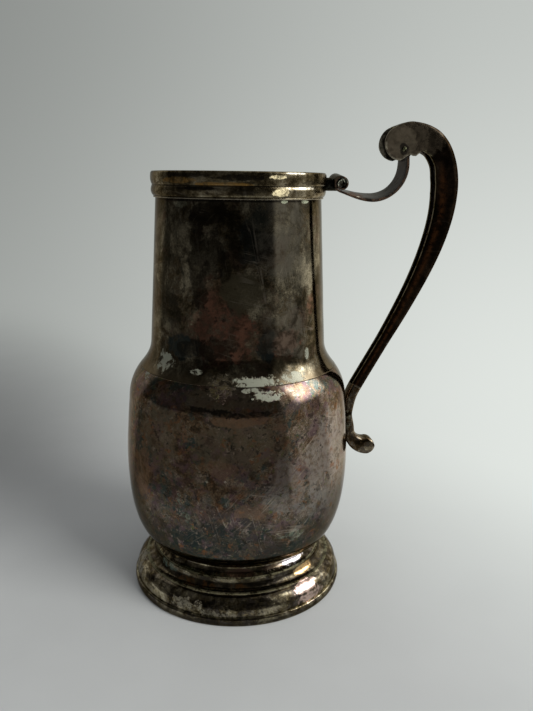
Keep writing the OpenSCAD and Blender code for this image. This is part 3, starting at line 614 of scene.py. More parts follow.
footPlate = makePlate("footPlate", dict(
    plateLook, seed=9.2, patchSize=15, rough=0.08, roughFine=0.08, fine=0.6, grain=0.3, speckAmount=0.4,
    bumpFine=0.008, bumpGrain=0.004, bumpSpeck=-0.02, grainDepth=0.8,
    film=[(0.0, (0.015, 0.012, 0.007)), (0.30, (0.048, 0.037, 0.020)), (0.44, (0.170, 0.132, 0.068)),
          (0.51, (0.086, 0.076, 0.052)), (0.68, (0.300, 0.256, 0.160)), (1.0, (0.58, 0.52, 0.37))],
    coats=[dict(colour=(0.165, 0.145, 0.138), amount=0.5),
           flecks((0.018, 0.014, 0.009), (8, 3.0, 0.50, 0.56), 0.85, 0.5),
           flecks((0.330, 0.270, 0.150), (3, 9.0, 0.57, 0.62), 0.7, 0.5),
           dict(colour=(0.34, 0.205, 0.150), breakUp=(0.1, 0.6, 0.5), spots=[
               ((-2, -42, 20.3), (8, 9, 1.8), 1.2, 0.8), ((16, -38, 20.5), (8, 9, 1.6), 1.8, 0.4)]),
           # dark rings under the belly, in the scotia and the collar's hollow, at the step and low on the
           # wire: painted shade and dark reflection over black tarnish
           dict(blackTarnishAndShade, bands=[(15.9, 2.6, 0.8), (23.9, 0.8, 0.95), (20.6, 1.6, 0.4), (12.4, 0.9, 0.3),
                                  (1.4, 2.6, 0.8)]),
           dict(colour=(0.24, 0.105, 0.030), breakUp=(0.35, 0.7, 0.0), fineness=600.0, spots=[
               ((-29, -38, 14.8), (7, 8, 1.4), 3.4, 0.7), ((-4, -47, 15.2), (5, 8, 1.3), 3.4, 0.7),
               ((-19, -43, 15.2), (5, 8, 1.2), 3.4, 0.6), ((10, 46, 15), (14, 10, 1.4), 3.4, 0.7)]),
           dict(verdigris, colour=(0.30, 0.28, 0.165), dull=0.4, breakUp=(0.15, 0.6, 0.3),
                bands=[(13.5, 0.30, 0.9), (18.7, 0.30, 0.85), (4.1, 0.30, 0.5)]),
           dict(verdigris, colour=(0.10, 0.15, 0.12), spots=[((-38, -24, 17.1), (6, 8, 2.2), 2.4, 0.7)]),
           dict(crust, colour=(0.27, 0.25, 0.19), breakUp=(0.3, 0.65, 0.0), fineness=520.0, lift=0.03, spots=[
               ((-51, -5, 9.7), (5, 9, 6), 3.6, 0.8), ((-29, -44, 7.6), (10, 8, 2.6), 3.8, 0.65),
               ((-14, -51, 5.6), (10, 8, 1.4), 3.8, 0.5), ((30, 40, 8), (12, 10, 4), 3.8, 0.65)]),
           # bare silver where the glints and highlights fall on the foot, in gold, lilac, orange and pink:
           # painted glints and highlights
           dict(bareSilverAndGlint, colour=(0.78, 0.60, 0.30), spots=[((-34, -24, 21.4), (2.4, 4, 1.1), 1.0, 0.9)]),
           dict(bareSilverAndGlint, colour=(0.74, 0.70, 0.74), fineness=400.0, spots=[
               ((25, -33, 21.2), (8, 9, 2.4), 1.4, 1.0), ((-16, 50, 9), (9, 8, 3), 2.2, 0.7)]),
           dict(bareSilverAndGlint, colour=(0.84, 0.56, 0.27), fineness=400.0, spots=[
               ((31, -33, 16), (8, 9, 2.2), 1.4, 0.95)]),
           dict(bareSilverAndGlint, colour=(0.78, 0.58, 0.50), fineness=400.0, spots=[
               ((30, -41, 11), (8, 9, 2.8), 2.0, 0.95), ((33, -43, 6.5), (9, 9, 2.4), 2.6, 0.9)])]))
handlePlate = makePlate("handlePlate", dict(
    plateLook, seed=12.6, patchSize=13, broad=0.5, fine=0.3, grain=0.12, rough=0.17, roughFine=0.06,
    scratchAmount=0.06, speckAmount=0.15, bumpFine=0.006, edgeTint=(0.40, 0.35, 0.28),
    film=[(0.0, (0.006, 0.005, 0.003)), (0.35, (0.011, 0.008, 0.005)), (0.55, (0.021, 0.014, 0.009)),
          (0.75, (0.038, 0.026, 0.017)), (1.0, (0.085, 0.066, 0.044))],
    coats=[dict(colour=(0.135, 0.112, 0.080), rough=0.22, dull=0.5, breakUp=(0.0, 0.9, 0.7), spots=[
               ((77, -6.2, 225), (10, 5, 9.5), 0.8, 0.75), ((77, 6.2, 225), (10, 5, 9.5), 0.8, 0.75),
               ((80, -6.2, 226), (14, 5, 11), 1.2, 0.5), ((83, -6.2, 226), (17, 5, 13), 1.4, 0.3)]),
           dict(colour=(0.165, 0.066, 0.026), mark="redStreak", breakUp=(0.2, 0.7, 0.15), amount=0.85),
           # painted shade on the inner face of the far cheek, and in the hole round the pin
           dict(blackTarnishAndShade, breakUp=(0.0, 0.3, 0.9), spots=[
               ((72, 5.6, 224), (9, 3.6, 14), 0.6, 0.95), ((79.3, -6.2, 221.8), (2.6, 3.0, 3.0), 1.6, 0.95)]),
           dict(verdigris, colour=(0.30, 0.27, 0.15), breakUp=(0.3, 0.6, 0.0),
                spots=[((90.5, -6, 217.5), (3.6, 4, 3.4), 2.6, 0.8)]),
           # pale worn edges, which also paint the thin highlight along the handle's edges
           dict(colour=(0.52, 0.48, 0.37), mark="edgeWear", breakUp=(0.15, 0.6, 0.2), amount=0.7)]))
stripPlate = makePlate("stripPlate", dict(
    plateLook, seed=14.2, patchSize=12, rough=0.16, bumpFine=0.006, scratchAmount=0.1,
    edgeTint=(0.22, 0.19, 0.17),
    film=[(0.0, (0.022, 0.021, 0.021)), (0.35, (0.044, 0.042, 0.040)), (0.55, (0.066, 0.066, 0.067)),
          (1.0, (0.12, 0.12, 0.125))],
    # darker further down the strip: painted shade where it faces the body
    coats=[dict(colour=(0.022, 0.013, 0.009), heights=(172, 204), amount=0.92, breakUp=(0.1, 0.7, 0.7))]))
tailCast = makePlate("tailCast", dict(
    plateLook, seed=17.9, patchSize=9, rough=0.18, fine=0.7, bumpFine=0.025, bumpSpeck=-0.03, speckAmount=0.6,
    film=[(0.0, (0.020, 0.015, 0.008)), (0.35, (0.070, 0.046, 0.022)), (0.50, (0.150, 0.104, 0.056)),
          (0.58, (0.085, 0.082, 0.080)), (0.80, (0.20, 0.155, 0.095)), (1.0, (0.38, 0.33, 0.24))],
    coats=[dict(blackTarnishAndShade, patches=(3, 5.0, 0.54, 0.60), amount=0.7),
           # bare silver on the top of the tail's curl: painted highlight where the light falls
           dict(bareSilverAndGlint, spots=[((69, 0, 82.5), (7, 8, 2.4), 1.8, 0.9)]),
           dict(verdigris, spots=[((57.5, 0, 84), (2.2, 8, 9), 1.4, 0.5)])]))
strapPlate = makePlate("strapPlate", dict(
    plateLook, seed=19.3, patchSize=8, rough=0.20, fine=0.6, bumpFine=0.015, scratchAmount=0.1,
    film=[(0.0, (0.022, 0.018, 0.015)), (0.35, (0.050, 0.039, 0.030)), (0.55, (0.090, 0.068, 0.052)),
          (1.0, (0.17, 0.14, 0.115))],
    coats=[dict(colour=(0.060, 0.062, 0.062), mark="innerFace", amount=0.9, breakUp=(0.1, 0.6, 0.6),
                dull=0.35, rough=0.1),
           dict(colour=(0.120, 0.052, 0.028), rough=0.2, dull=0.4, spots=[
               ((55, 0, 199.8), (6, 9, 2.0), 2.0, 0.8)]),
           dict(colour=(0.115, 0.072, 0.048), mark="edgeWear", breakUp=(0.3, 0.65, 0.1), dull=0.3),
           dict(crust, colour=(0.62, 0.56, 0.44), spots=[
               ((58, -7, 200.5), (2.0, 2, 1.6), 1.6, 0.9), ((74, -6, 203), (2.2, 2, 1.6), 1.6, 0.9)]),
           # painted shade over the volute's coil, and a dark blotch on the bow
           dict(blackTarnishAndShade, breakUp=(0.0, 0.3, 0.85), spots=[((49.3, 0, 205.9), (5.6, 9, 5.0), 0.6, 1.0),
                                                            ((63, -7, 198.4), (3.0, 3, 1.2), 2.0, 0.9)]),
           dict(crust, colour=(0.40, 0.42, 0.33), breakUp=(0.35, 0.6, 0.0), spots=[
               ((49.6, -7.2, 205.6), (2.6, 1.2, 2.4), 2.8, 0.9)]),
           # bare silver on top of the volute: painted glint
           dict(bareSilverAndGlint, spots=[((49.5, -4.5, 210), (3.2, 1.6, 1.2), 1.4, 0.7)])]))
# dark solder, painted nearly black for the shade it lies in
solderWithPaintedShade = makePlate("solderWithPaintedShade", dict(
    plateLook, seed=23.0, patchSize=4, rough=0.35, bumpFine=0.04, scratchAmount=0.0,
    film=[(0.0, (0.005, 0.0045, 0.004)), (0.5, (0.011, 0.010, 0.008)), (1.0, (0.034, 0.031, 0.026))],
    coats=[dict(verdigris, colour=(0.08, 0.09, 0.065), amount=0.25)]))
pinBrass = makePlate("pinBrass", dict(
    plateLook, seed=27.0, patchSize=1.6, rough=0.38, fine=0.9, bumpFine=0.05, scratchAmount=0.0,
    film=[(0.0, (0.006, 0.006, 0.004)), (0.5, (0.020, 0.018, 0.011)), (0.75, (0.075, 0.075, 0.042)),
          (1.0, (0.26, 0.27, 0.16))]))
print("finishes ready")

# body: bowl and neck raised from two sheets, joined at the shoulder
body = dict(floorEdge=(40, 24), widest=(56.9, 69), crest=(55.1, 100), seam=(48.8, 117), neckBase=(43.5, 129),
            mouth=(39.4, 210), sheet=1.4)
neckSlope = (np.array(body["mouth"]) - body["neckBase"]) / (body["mouth"][1] - body["neckBase"][1])
bellyLine = chain([(0, 24), (36, 24)],
                  bezier(body["floorEdge"], (53, 25.5), (56.9, 46.5), body["widest"], 44),
                  bezier(body["widest"], (56.9, 79.33), (56.0, 89.67), body["crest"], 24),
                  bezier(body["crest"], (54.8, 107.5), (52.9, 112), body["seam"], 22))
neckLine = chain(bezier(body["seam"], (45.4, 121.2), np.array(body["neckBase"]) - 4.5 * neckSlope,
                        body["neckBase"], 22), [body["mouth"]])
bodyInside = inset(chain(bellyLine, neckLine), body["sheet"])
bodyInside[-1] = np.array((body["mouth"][0] - body["sheet"], body["mouth"][1]))
seamAt = len(bellyLine) - 1


def bowlRadius(z):
    return float(np.interp(z, [p[1] for p in bellyLine[2:]], [p[0] for p in bellyLine[2:]]))


def neckRadius(z):
    return body["mouth"][0] + (z - body["mouth"][1]) * neckSlope[0]


bowlLook = dict(vessel=True, around=288, gap=2.0, edge=0.25, waveDepth=0.16, waveSize=30, waveStretch=1.0,
                dentDepth=0.35, dentSize=13, seed=3.0)
neckLook = dict(bowlLook, waveDepth=0.14, waveSize=12, waveStretch=4.5, dentDepth=0.25, dentSize=12, seed=8.0)
turnPiece("bowlSkin", chain(bellyLine, bodyInside[:seamAt + 1][::-1]), False, bowlLook, bellyPlate, "bowl")
turnPiece("neckSkin", chain(neckLine, bodyInside[seamAt:][::-1]), True, neckLook, neckPlate, "neck")

# rim band: fillet, half-round, groove and upper moulding
rim = dict(height=12, proud=2.4)
rimLow = body["mouth"][1] - rim["height"]


def rimAt(share, out):
    z = rimLow + share * rim["height"]
    return np.array((neckRadius(z) + out * rim["proud"], z))


rimLine = chain([rimAt(0, 0), rimAt(0, 0.36), rimAt(0.05, 0.36)],
                bezier(rimAt(0.06, 0.3), rimAt(0.12, 0.85), rimAt(0.32, 1.05), rimAt(0.45, 0.74), 16),
                bezier(rimAt(0.5, 0.72), rimAt(0.58, 1.05), rimAt(0.8, 1.16), rimAt(0.95, 1.04), 16),
                [rimAt(1, 0.82), rimAt(1, 0)])
rimLook = dict(around=320, gap=1.0, edge=0.25, waveDepth=0.10, waveSize=9, waveStretch=1.0, dentDepth=0.25,
               dentSize=4, seed=5.0)
turnPiece("rimMoulding", rimLine, True, rimLook, rimPlate, "rim_band")

# foot: wire, flange, step, scotia and fillet, with the collar on top
foot = dict(flangeLow=(53.7, 4), flangeTop=(48.8, 13), scotiaLow=(48.2, 13.6), scotiaTop=(43.8, 17.8),
            top=18.6, bore=36.9, sheet=1.5)
flangeLine = bezier(foot["flangeLow"], (54.2, 8.95), (51.4, 12.1), foot["flangeTop"], 22)
scotiaLine = bezier(foot["scotiaLow"], (45.6, 13.81), (43.9, 15.28), foot["scotiaTop"], 18)
footUnder = inset(chain(flangeLine, scotiaLine), foot["sheet"])
topEdge, topUnder = foot["scotiaTop"][0], foot["top"] - foot["sheet"]
footLine = chain(flangeLine, [(foot["flangeTop"][0], foot["scotiaLow"][1])], scotiaLine,
                 [(topEdge, foot["top"]), (foot["bore"], foot["top"]), (foot["bore"], topUnder),
                  (topEdge - foot["sheet"], topUnder)],
                 footUnder[1:][::-1], [(foot["flangeLow"][0] - foot["sheet"], foot["flangeLow"][1])])
footLook = dict(around=288, gap=1.2, edge=0.18, waveDepth=0.12, waveSize=16, waveStretch=1.0, dentDepth=0.4,
                dentSize=6, seed=11.0)
turnPiece("footSkin", footLine, True, footLook, footPlate, "foot")
wireLine = chain([(51.6, 0)], bezier((54.4, 0), (55, 0.6), (55.2, 3.4), (54.2, 4), 14), [(51.6, 4)])
wireLook = dict(footLook, edge=0.3, waveDepth=0.10, seed=13.0)
turnPiece("footWire", wireLine, True, wireLook, footPlate, "foot_wire")
collarLine = chain(bezier((43.2, foot["top"]), (41.6, 19.4), (39.8, 20.6), (39.8, 22.6), 16),
                   bezier((39.8, 22.6), (40.7, 22.74), (40.7, 23.58), body["floorEdge"], 12),
                   [(foot["bore"], body["floorEdge"][1]), (foot["bore"], foot["top"])])
collarLook = dict(footLook, gap=1.0, waveDepth=0.08, seed=15.0)
turnPiece("footCollar", collarLine, True, collarLook, footPlate, "foot_collar")

# handle: stations along its side view, each with a section across
handle = dict(head=(78.3, 224.7), headRadius=8.3, headWide=12.4, stemTop=(103.4, 201), stemThick=11.78,
              stemWide=11.2, endThick=5.4, endWide=8.8, wall=1.2, lean=(0.48, 0.88), tailZ=87.5,
              jointRise=14.5, jointOut=7, headPull=(14.31, 4.64), topPull=(0, 17.49), stemPull=(0, 30),
              jointPull=35, noseSteps=18, headSteps=70, stemSteps=96, lipSteps=8, backSteps=56, openAt=7,
              wearReach=0.75)
head, stemTop, lean = (np.array(handle[k], float) for k in ("head", "stemTop", "lean"))
jointZ = handle["tailZ"] + handle["jointRise"]
joint = np.array((bowlRadius(jointZ) + handle["jointOut"], jointZ))
headLine = bezier(head, head + handle["headPull"], stemTop + handle["topPull"], stemTop,
                  handle["headSteps"])
stemLine = bezier(stemTop, stemTop - handle["stemPull"], joint + handle["jointPull"] * lean, joint,
                  handle["stemSteps"])
headDir = heading(headLine, 0)
noseTurn = np.radians(np.linspace(6, 90, handle["noseSteps"], endpoint=False))
noseLine = [head - handle["headRadius"] * math.cos(a) * headDir for a in noseTurn]
handleLine = noseLine + headLine + stemLine[1:]
handleU = np.array([-math.cos(a) for a in noseTurn] + list(np.linspace(0, 1, len(headLine)))
                   + list(1 + np.linspace(0, 1, len(stemLine))[1:]))
headR, stemR, endR = handle["headRadius"], handle["stemThick"] / 2, handle["endThick"] / 2
headHalf, stemHalf, endHalf = (handle[k] / 2 for k in ("headWide", "stemWide", "endWide"))


def smoothTable(u, table, spread=0.03):
    # a table read as straight runs, with its corners eased
    xs, ys = zip(*table)
    return np.mean([np.interp(u + o, xs, ys) for o in np.linspace(-spread, spread, 9)], axis=0)


backTable = [(0, headR), (0.12, 1.11 * headR), (0.2, 1.06 * headR), (0.41, 1.03 * headR),
             (0.54, 0.95 * headR), (0.64, 0.88 * headR), (0.8, 1.11 * stemR), (1, stemR),
             (1.25, 0.7 * stemR + 0.3 * endR), (1.5, 0.3 * stemR + 0.7 * endR), (1.75, endR), (2, endR)]
noseBack = headR * np.sqrt(np.clip(1 - handleU ** 2, 0, 1))
backAt = np.where(handleU < 0, noseBack, smoothTable(handleU, backTable))
innerTable = [(-0.4, 0.9165 * headR), (-0.2, 0.91 * headR), (0, 0.82 * headR), (0.08, 0.74 * headR),
              (0.14, 0.855 * headR), (0.2, 0.85 * headR), (0.31, 0.66 * stemR), (0.48, 0.6 * stemR),
              (0.67, 0.72 * stemR), (0.82, 0.93 * stemR), (1, stemR)]
innerAt = np.where((handleU < -0.4) | (handleU > 1), backAt, smoothTable(handleU, innerTable, 0.012))
halfAt = smoothTable(handleU, [(0, headHalf), (0.3, headHalf), (1, stemHalf), (1.75, endHalf), (2, endHalf)])
flatAt = halfAt * smoothTable(handleU, [(0.2, 0.97), (0.5, 0.72), (2, 0.72)])
powerAt = smoothTable(handleU, [(0.2, 0.25), (0.7, 0.5)])


def channelSection(inner, back, half, flat, power, lips, backs):
    # from one lip round the back to the other, as distances towards the mouth and across
    q = [math.radians(90 * i / lips) for i in range(1, lips + 1)]
    left = [(inner * math.sin(a), -flat - (half - flat) * math.cos(a)) for a in reversed(q)]
    right = [(inner * math.sin(a), flat + (half - flat) * math.cos(a)) for a in q]
    turn = np.radians(np.linspace(-90, 90, 361))
    deep, wide = np.clip(np.cos(turn), 0, 1) ** power, np.sign(np.sin(turn)) * np.abs(np.sin(turn)) ** power
    deep[0] = deep[-1] = 0.0
    run = np.concatenate(([0], np.cumsum(np.hypot(back * np.diff(deep), half * np.diff(wide)))))
    even = np.linspace(0, run[-1], backs + 1)
    rear = list(zip(-back * np.interp(even, run, deep), half * np.interp(even, run, wide)))
    return left + rear + right


def carry(line, i, q):
    d = heading(line, i)
    return (line[i][0] + q[0] * d[1], q[1], line[i][1] - q[0] * d[0])


def loftMesh(name, rings, marks=None, channel=False):
    # closed skin through rings of equal count; the ends are fans, or strips where the ring is a channel
    count = len(rings[0])
    verts = [p for ring in rings for p in ring]
    faces = []
    for at in range(0, len(verts) - count, count):
        for k in range(count):
            after = (k + 1) % count
            faces.append((at + k, at + count + k, at + count + after, at + after))
    for i in (0, len(rings) - 1):
        at = i * count
        if channel:
            last = at + count - 1
            faces += [(at + k, at + k + 1, last - 1 - k, last - k) for k in range(count // 2 - 1)]
        else:
            verts.append(tuple(np.mean(rings[i], axis=0)))
            faces += [(len(verts) - 1, at + k, at + (k + 1) % count) for k in range(count)]
    mesh = bpy.data.meshes.new(name)
    mesh.from_pydata([tuple(c * mm for c in p) for p in verts], [], faces)
    for mark, values in (marks or {}).items():
        flat = [v for ring in values for v in ring]
        flat += [0.0] * (len(verts) - len(flat))
        setMark(mesh, mark, flat)
    return mesh


def boxMesh(low, high):
    corners = [[c * mm for c in corner] for corner in itertools.product(*zip(low, high))]
    sides = [(0, 1, 3, 2), (4, 6, 7, 5), (0, 4, 5, 1), (2, 3, 7, 6), (0, 2, 6, 4), (1, 5, 7, 3)]
    mesh = bpy.data.meshes.new("box")
    mesh.from_pydata(corners, [], sides)
    return mesh


def cutAway(mesh, cutter):
    # takes the cutter's room out of a closed skin
    cleanMesh(mesh, 0.7)
    cleanMesh(cutter, 0.7)
    holder, tool = bpy.data.objects.new("cutHolder", mesh), bpy.data.objects.new("cutTool", cutter)
    for item in (holder, tool):
        scene.collection.objects.link(item)
    cut = holder.modifiers.new("cut", "BOOLEAN")
    cut.operation, cut.solver, cut.object = "DIFFERENCE", "EXACT", tool
    result = takeShape(holder)
    bpy.data.objects.remove(tool)
    result.materials.clear()
    return result


def markWear(mesh, reach, angle):
    # worn metal along every sharp outer edge, fading out over the reach
    cleanMesh(mesh, 0.7)
    b = bmesh.new()
    b.from_mesh(mesh)
    points = []
    for e in b.edges:
        if len(e.link_faces) == 2 and e.calc_face_angle_signed(0.0) > angle:
            start, end = e.verts[0].co, e.verts[1].co
            steps = max(1, math.ceil((end - start).length / (0.3 * mm)))
            points += [start.lerp(end, k / steps) for k in range(steps + 1)]
    b.free()
    tree = KDTree(len(points))
    for k, p in enumerate(points):
        tree.insert(p, k)
    tree.balance()
    wear = [max(0.0, 1 - tree.find(v.co)[2] / (reach * mm)) for v in mesh.vertices]
    setMark(mesh, "edgeWear", wear)


def markStreak(mesh):
    # a red-brown streak along each side of the stem, nearer to its inner edge
    line = np.array(handleLine)
    streak = []
    for v in mesh.vertices:
        p = np.array((v.co.x, v.co.z)) / mm
        i = int(np.argmin(np.sum((line - p) ** 2, axis=1)))
        d = heading(handleLine, i)
        off = (p - line[i]) @ np.array((d[1], -d[0]))
        reach = math.exp(-((off - 0.45 * innerAt[i]) / (0.24 * innerAt[i])) ** 2)
        streak.append(reach * float(np.clip((handleU[i] - 0.62) / 0.3, 0, 1)))
    setMark(mesh, "redStreak", streak)


def handleShellMesh():
    lips, backs, wall = handle["lipSteps"], handle["backSteps"], handle["wall"]
    rings = []
    for i in range(len(handleLine)):
        outer = channelSection(innerAt[i], backAt[i], halfAt[i], flatAt[i], powerAt[i], lips, backs)
        if i >= handle["openAt"]:
            hollow = channelSection(innerAt[i], backAt[i] - wall, halfAt[i] - wall, flatAt[i] - wall,
                                    powerAt[i], lips, backs)
        else:
            # ahead of the opening the underside of the nose is closed
            hollow = [(innerAt[i], y) for y in np.linspace(-flatAt[i], flatAt[i], len(outer))]
        rings.append([carry(handleLine, i, q) for q in outer + hollow[::-1]])
    mesh = loftMesh("handleShellSkin", rings, channel=True)
    # the nose is left open between the cheeks
    slotHalf = float(flatAt[handle["noseSteps"]]) - wall - 0.1
    slotBack = head[0] - 0.33 * headR
    mesh = cutAway(mesh, boxMesh((slotBack - 2 * headR, -slotHalf, head[1] - 2 * headR),
                                 (slotBack, slotHalf, head[1] + 2 * headR)))
    mesh.name = "handleShellSkin"
    markWear(mesh, handle["wearReach"], 0.6)
    markStreak(mesh)
    return mesh


finishPiece(handleShellMesh(), "handleShellSkin", handlePlate, "handle_shell")

strip = dict(start=0.33, gap=0.05)


def handleStripMesh():
    rings = []
    for i, u in enumerate(handleU):
        if u < strip["start"]:
            continue
        face, under = innerAt[i], innerAt[i] - handle["wall"]
        side = flatAt[i] - handle["wall"] - strip["gap"]
        # a rounded edge: distance below the face and in from the side
        edge = ((0.25, 0), (0.06, 0.2), (0, 0.5))
        across = [(under, -side), (under, 0), (under, side), *((face - d, side - s) for d, s in edge),
                  (face, 0), *((face - d, s - side) for d, s in reversed(edge))]
        rings.append([carry(handleLine, i, q) for q in across])
    return loftMesh("handleStripSkin", rings)


finishPiece(handleStripMesh(), "handleStripSkin", stripPlate, "handle_strip", 0.9)

# tail: down the belly, then out in a curl with a round tip
tail = dict(contact=9, thick=4.2, curl=9.4, tip=9, gap=0.05, power=0.5, steps=(24, 18, 36), spans=(8, 6, 12))
tailHalf, tipHalf = tail["thick"] / 2, tail["tip"] / 2


def tailMesh():
    def seat(z, half):
        return np.array((bowlRadius(z) + tail["gap"] + half, z))

    lowHalf = tailHalf + 0.5
    mid, low = seat(handle["tailZ"], tailHalf), seat(handle["tailZ"] - tail["contact"], lowHalf)
    curlMid = low + (tail["curl"], 0)
    startSteps, midSteps, curlSteps = tail["steps"]
    curlTurn = np.radians(np.linspace(180, 270, curlSteps + 1)[1:])
    line = (bezier(joint, joint - 6 * lean, mid + (0.4, 6), mid, startSteps)
            + bezier(mid, mid - (0, 3), low + (0, 3), low, midSteps)[1:]
            + [curlMid + tail["curl"] * np.array((math.cos(a), math.sin(a))) for a in curlTurn])
    share = np.interp(range(len(line)), np.cumsum([0, *tail["steps"]]), np.cumsum([0, *tail["spans"]]))
    table = [(0, endR), (5, lowHalf), (8, tailHalf), (14, lowHalf), (26, tipHalf)]
    half = smoothTable(share, table, 0.6)
    flat = np.interp(share, (0, 26), (0.72, 0.8))
    tipTurn = np.radians(np.linspace(0, 84, 19)[1:])
    end = line[-1]
    line += [end + (tipHalf * math.sin(a), 0) for a in tipTurn]
    half = list(half) + [tipHalf * math.cos(a) for a in tipTurn]
    flat = list(flat) + [0.8] * len(tipTurn)
    rings = []
    for i in range(len(line)):
        across = channelSection(half[i], half[i], endHalf, endHalf * flat[i], tail["power"], 7, 24)
        rings.append([carry(line, i, q) for q in across])
    return loftMesh("tailScrollSkin", rings)


finishPiece(tailMesh(), "tailScrollSkin", tailCast, "tail_scroll")

# bracket strap: volute at the rim, down through the bow, up to the eye round the pin; bent a little askew
strap = dict(volute=(49.3, 205.9), voluteR=4.2, voluteT=1.0, pitch=1.3, turn=674, lead=14, rimWide=14,
             headWide=9.8, thick=1.5, dip=12, eyeT=1.4, pinAt=(79.296, 221.795), pinD=2.8, play=0.1, edge=0.3,
             cant=(6, 13, 10))


def strapMesh():
    volute, pinAt = np.array(strap["volute"]), np.array(strap["pinAt"])
    lead = math.radians(strap["lead"])
    voluteMid = strap["voluteR"] - strap["voluteT"] / 2
    eyeMid = strap["pinD"] / 2 + strap["play"] + strap["eyeT"] / 2
    side = pinAt[0] + eyeMid
    low = np.array(((volute[0] + side) / 2, body["mouth"][1] - strap["dip"] + strap["thick"] / 2))
    up = np.array((side, low[1] + side - low[0]))
    bowHalf = side - low[0]
    bend = 0.56 * bowHalf

    def coilAt(a):
        r = voluteMid - strap["pitch"] * (a - strap["lead"]) / 360
        return volute + r * np.array((math.cos(math.radians(270 - a)), math.sin(math.radians(270 - a))))

    coil = [coilAt(a) for a in np.arange(strap["turn"], strap["lead"] + 1, -6)]
    start = coilAt(strap["lead"])
    bow = chain(bezier(start, start + 0.33 * bowHalf * np.array((math.cos(lead), -math.sin(lead))),
                       low - (0.4 * bowHalf, 0), low, 30),
                bezier(low, low + (bend, 0), up - (0, bend), up, 34), [(side, pinAt[1] - 2 * eyeMid)])
    eye = [pinAt + eyeMid * np.array((math.cos(a), math.sin(a))) for a in np.radians(np.arange(0, 271, 6))]
    line = chain(coil, bow, eye)
    bowAt, eyeAt = len(coil), len(coil) + len(bow)
    half = np.interp(range(len(line)), [0, bowAt, bowAt + 24, eyeAt - 4, eyeAt + 2],
                     [0.4, strap["voluteT"] / 2, strap["thick"] / 2, strap["thick"] / 2, strap["eyeT"] / 2])
    cant = np.interp(range(len(line)), [bowAt, bowAt + 30, bowAt + 64, eyeAt + 4], [*strap["cant"], 0])
    plan = [(volute[0] + strap["voluteR"], strap["rimWide"]), (low[0] + bend, strap["headWide"])]
    rings, edges, inner = [], [], []
    for i, p in enumerate(line):
        d = heading(line, i)
        t, w = half[i], float(np.interp(p[0], *zip(*plan))) / 2
        e = min(strap["edge"], 0.7 * t)
        outside = [(-t, -w + e), (-t, -w * 0.4), (-t, w * 0.4), (-t, w - e), (-t + 0.3 * e, w - 0.3 * e),
                   (-t + e, w), (t - e, w), (t - 0.3 * e, w - 0.3 * e)]
        across = outside + [(-q[0], -q[1]) for q in outside]
        # one long edge of the ribbon stands higher than the other
        over = np.array((0.0, 1.0)) if i < bowAt else np.array((-d[1], d[0]))
        over = over * math.tan(math.radians(cant[i]))
        rings.append([(p[0] - q[0] * d[1] + q[1] * over[0], q[1], p[1] + q[0] * d[0] + q[1] * over[1])
                      for q in across])
        edges.append([1.0 if abs(q[1]) > w - 0.5 * e else 0.0 for q in across])
        inner.append([1.0 if q[0] > 0.5 * t and i >= bowAt else 0.0 for q in across])
    return loftMesh("bracketStrapSkin", rings, {"edgeWear": edges, "innerFace": inner})


finishPiece(strapMesh(), "bracketStrapSkin", strapPlate, "bracket_strap")

# solder between the rim moulding and the back of the volute
saddle = dict(wide=9, low=201.7, high=208.0, gap=0.05)


def saddleMesh():
    heights, radii = [p[1] for p in rimLine[3:-2]], [p[0] for p in rimLine[3:-2]]
    volute, reach = np.array(strap["volute"]), strap["voluteR"] + saddle["gap"]
    middle = (saddle["low"] + saddle["high"]) / 2
    rings = []
    for y in np.linspace(-saddle["wide"] / 2, saddle["wide"] / 2, 25):
        close = 1 - 0.35 * (abs(y) / (saddle["wide"] / 2)) ** 4
        levels = middle + (np.linspace(saddle["low"], saddle["high"], 19) - middle) * close
        rimSide = np.sqrt(np.interp(levels, heights, radii) ** 2 - y * y) + saddle["gap"]
        coilSide = volute[0] - np.sqrt(np.clip(reach ** 2 - (levels - volute[1]) ** 2, 0, None))
        outline = [*zip(rimSide, levels), *zip(coilSide[::-1], levels[::-1])]
        rings.append([(x, y, z) for x, z in outline])
    return loftMesh("rimSolder", rings)


finishPiece(saddleMesh(), "rimSolder", solderWithPaintedShade, "rim_saddle", 1.2)

# pin through both cheeks and the eye, its ends hammered over a little
pin = dict(long=12.8, dome=0.35)


def pinMesh():
    x, z = strap["pinAt"]
    half = pin["long"] / 2
    steps = [(-half, 0.55), (-half + 0.1, 0.8), (-half + pin["dome"], 1.0)]
    steps += [(-y, k) for y, k in reversed(steps)]
    turn = np.linspace(0, 2 * math.pi, 40, endpoint=False)
    rings = []
    for y, k in steps:
        r = k * strap["pinD"] / 2
        rings.append([(x + r * math.cos(a), y, z + r * math.sin(a)) for a in turn])
    return loftMesh("headPin", rings)


finishPiece(pinMesh(), "headPin", pinBrass, "head_pin")
print("pieces ready")

# camera as in the photograph, level with the rim and turned slightly towards the handle
view = dict(place=(-33.85, -345.05, 206), turn=8.0, pitch=14.0, roll=0.8, lens=35.44)


def addCamera():
    turn, pitch, roll = (math.radians(view[k]) for k in ("turn", "pitch", "roll"))
    ahead = Vector((math.sin(turn) * math.cos(pitch), math.cos(turn) * math.cos(pitch), -math.sin(pitch)))
    level = Vector((math.cos(turn), -math.sin(turn), 0))
    upright = level.cross(ahead)
    right = math.cos(roll) * level + math.sin(roll) * upright
    up = math.cos(roll) * upright - math.sin(roll) * level
    data = bpy.data.cameras.new("photoCamera")
    data.lens, data.clip_start, data.clip_end = view["lens"], 0.01, 50
    camera = bpy.data.objects.new("photoCamera", data)
    rows = Matrix((right, up, -ahead)).transposed().to_4x4()
    camera.matrix_world = Matrix.Translation([c * mm for c in view["place"]]) @ rows
    scene.collection.objects.link(camera)
    scene.camera = camera


addCamera()

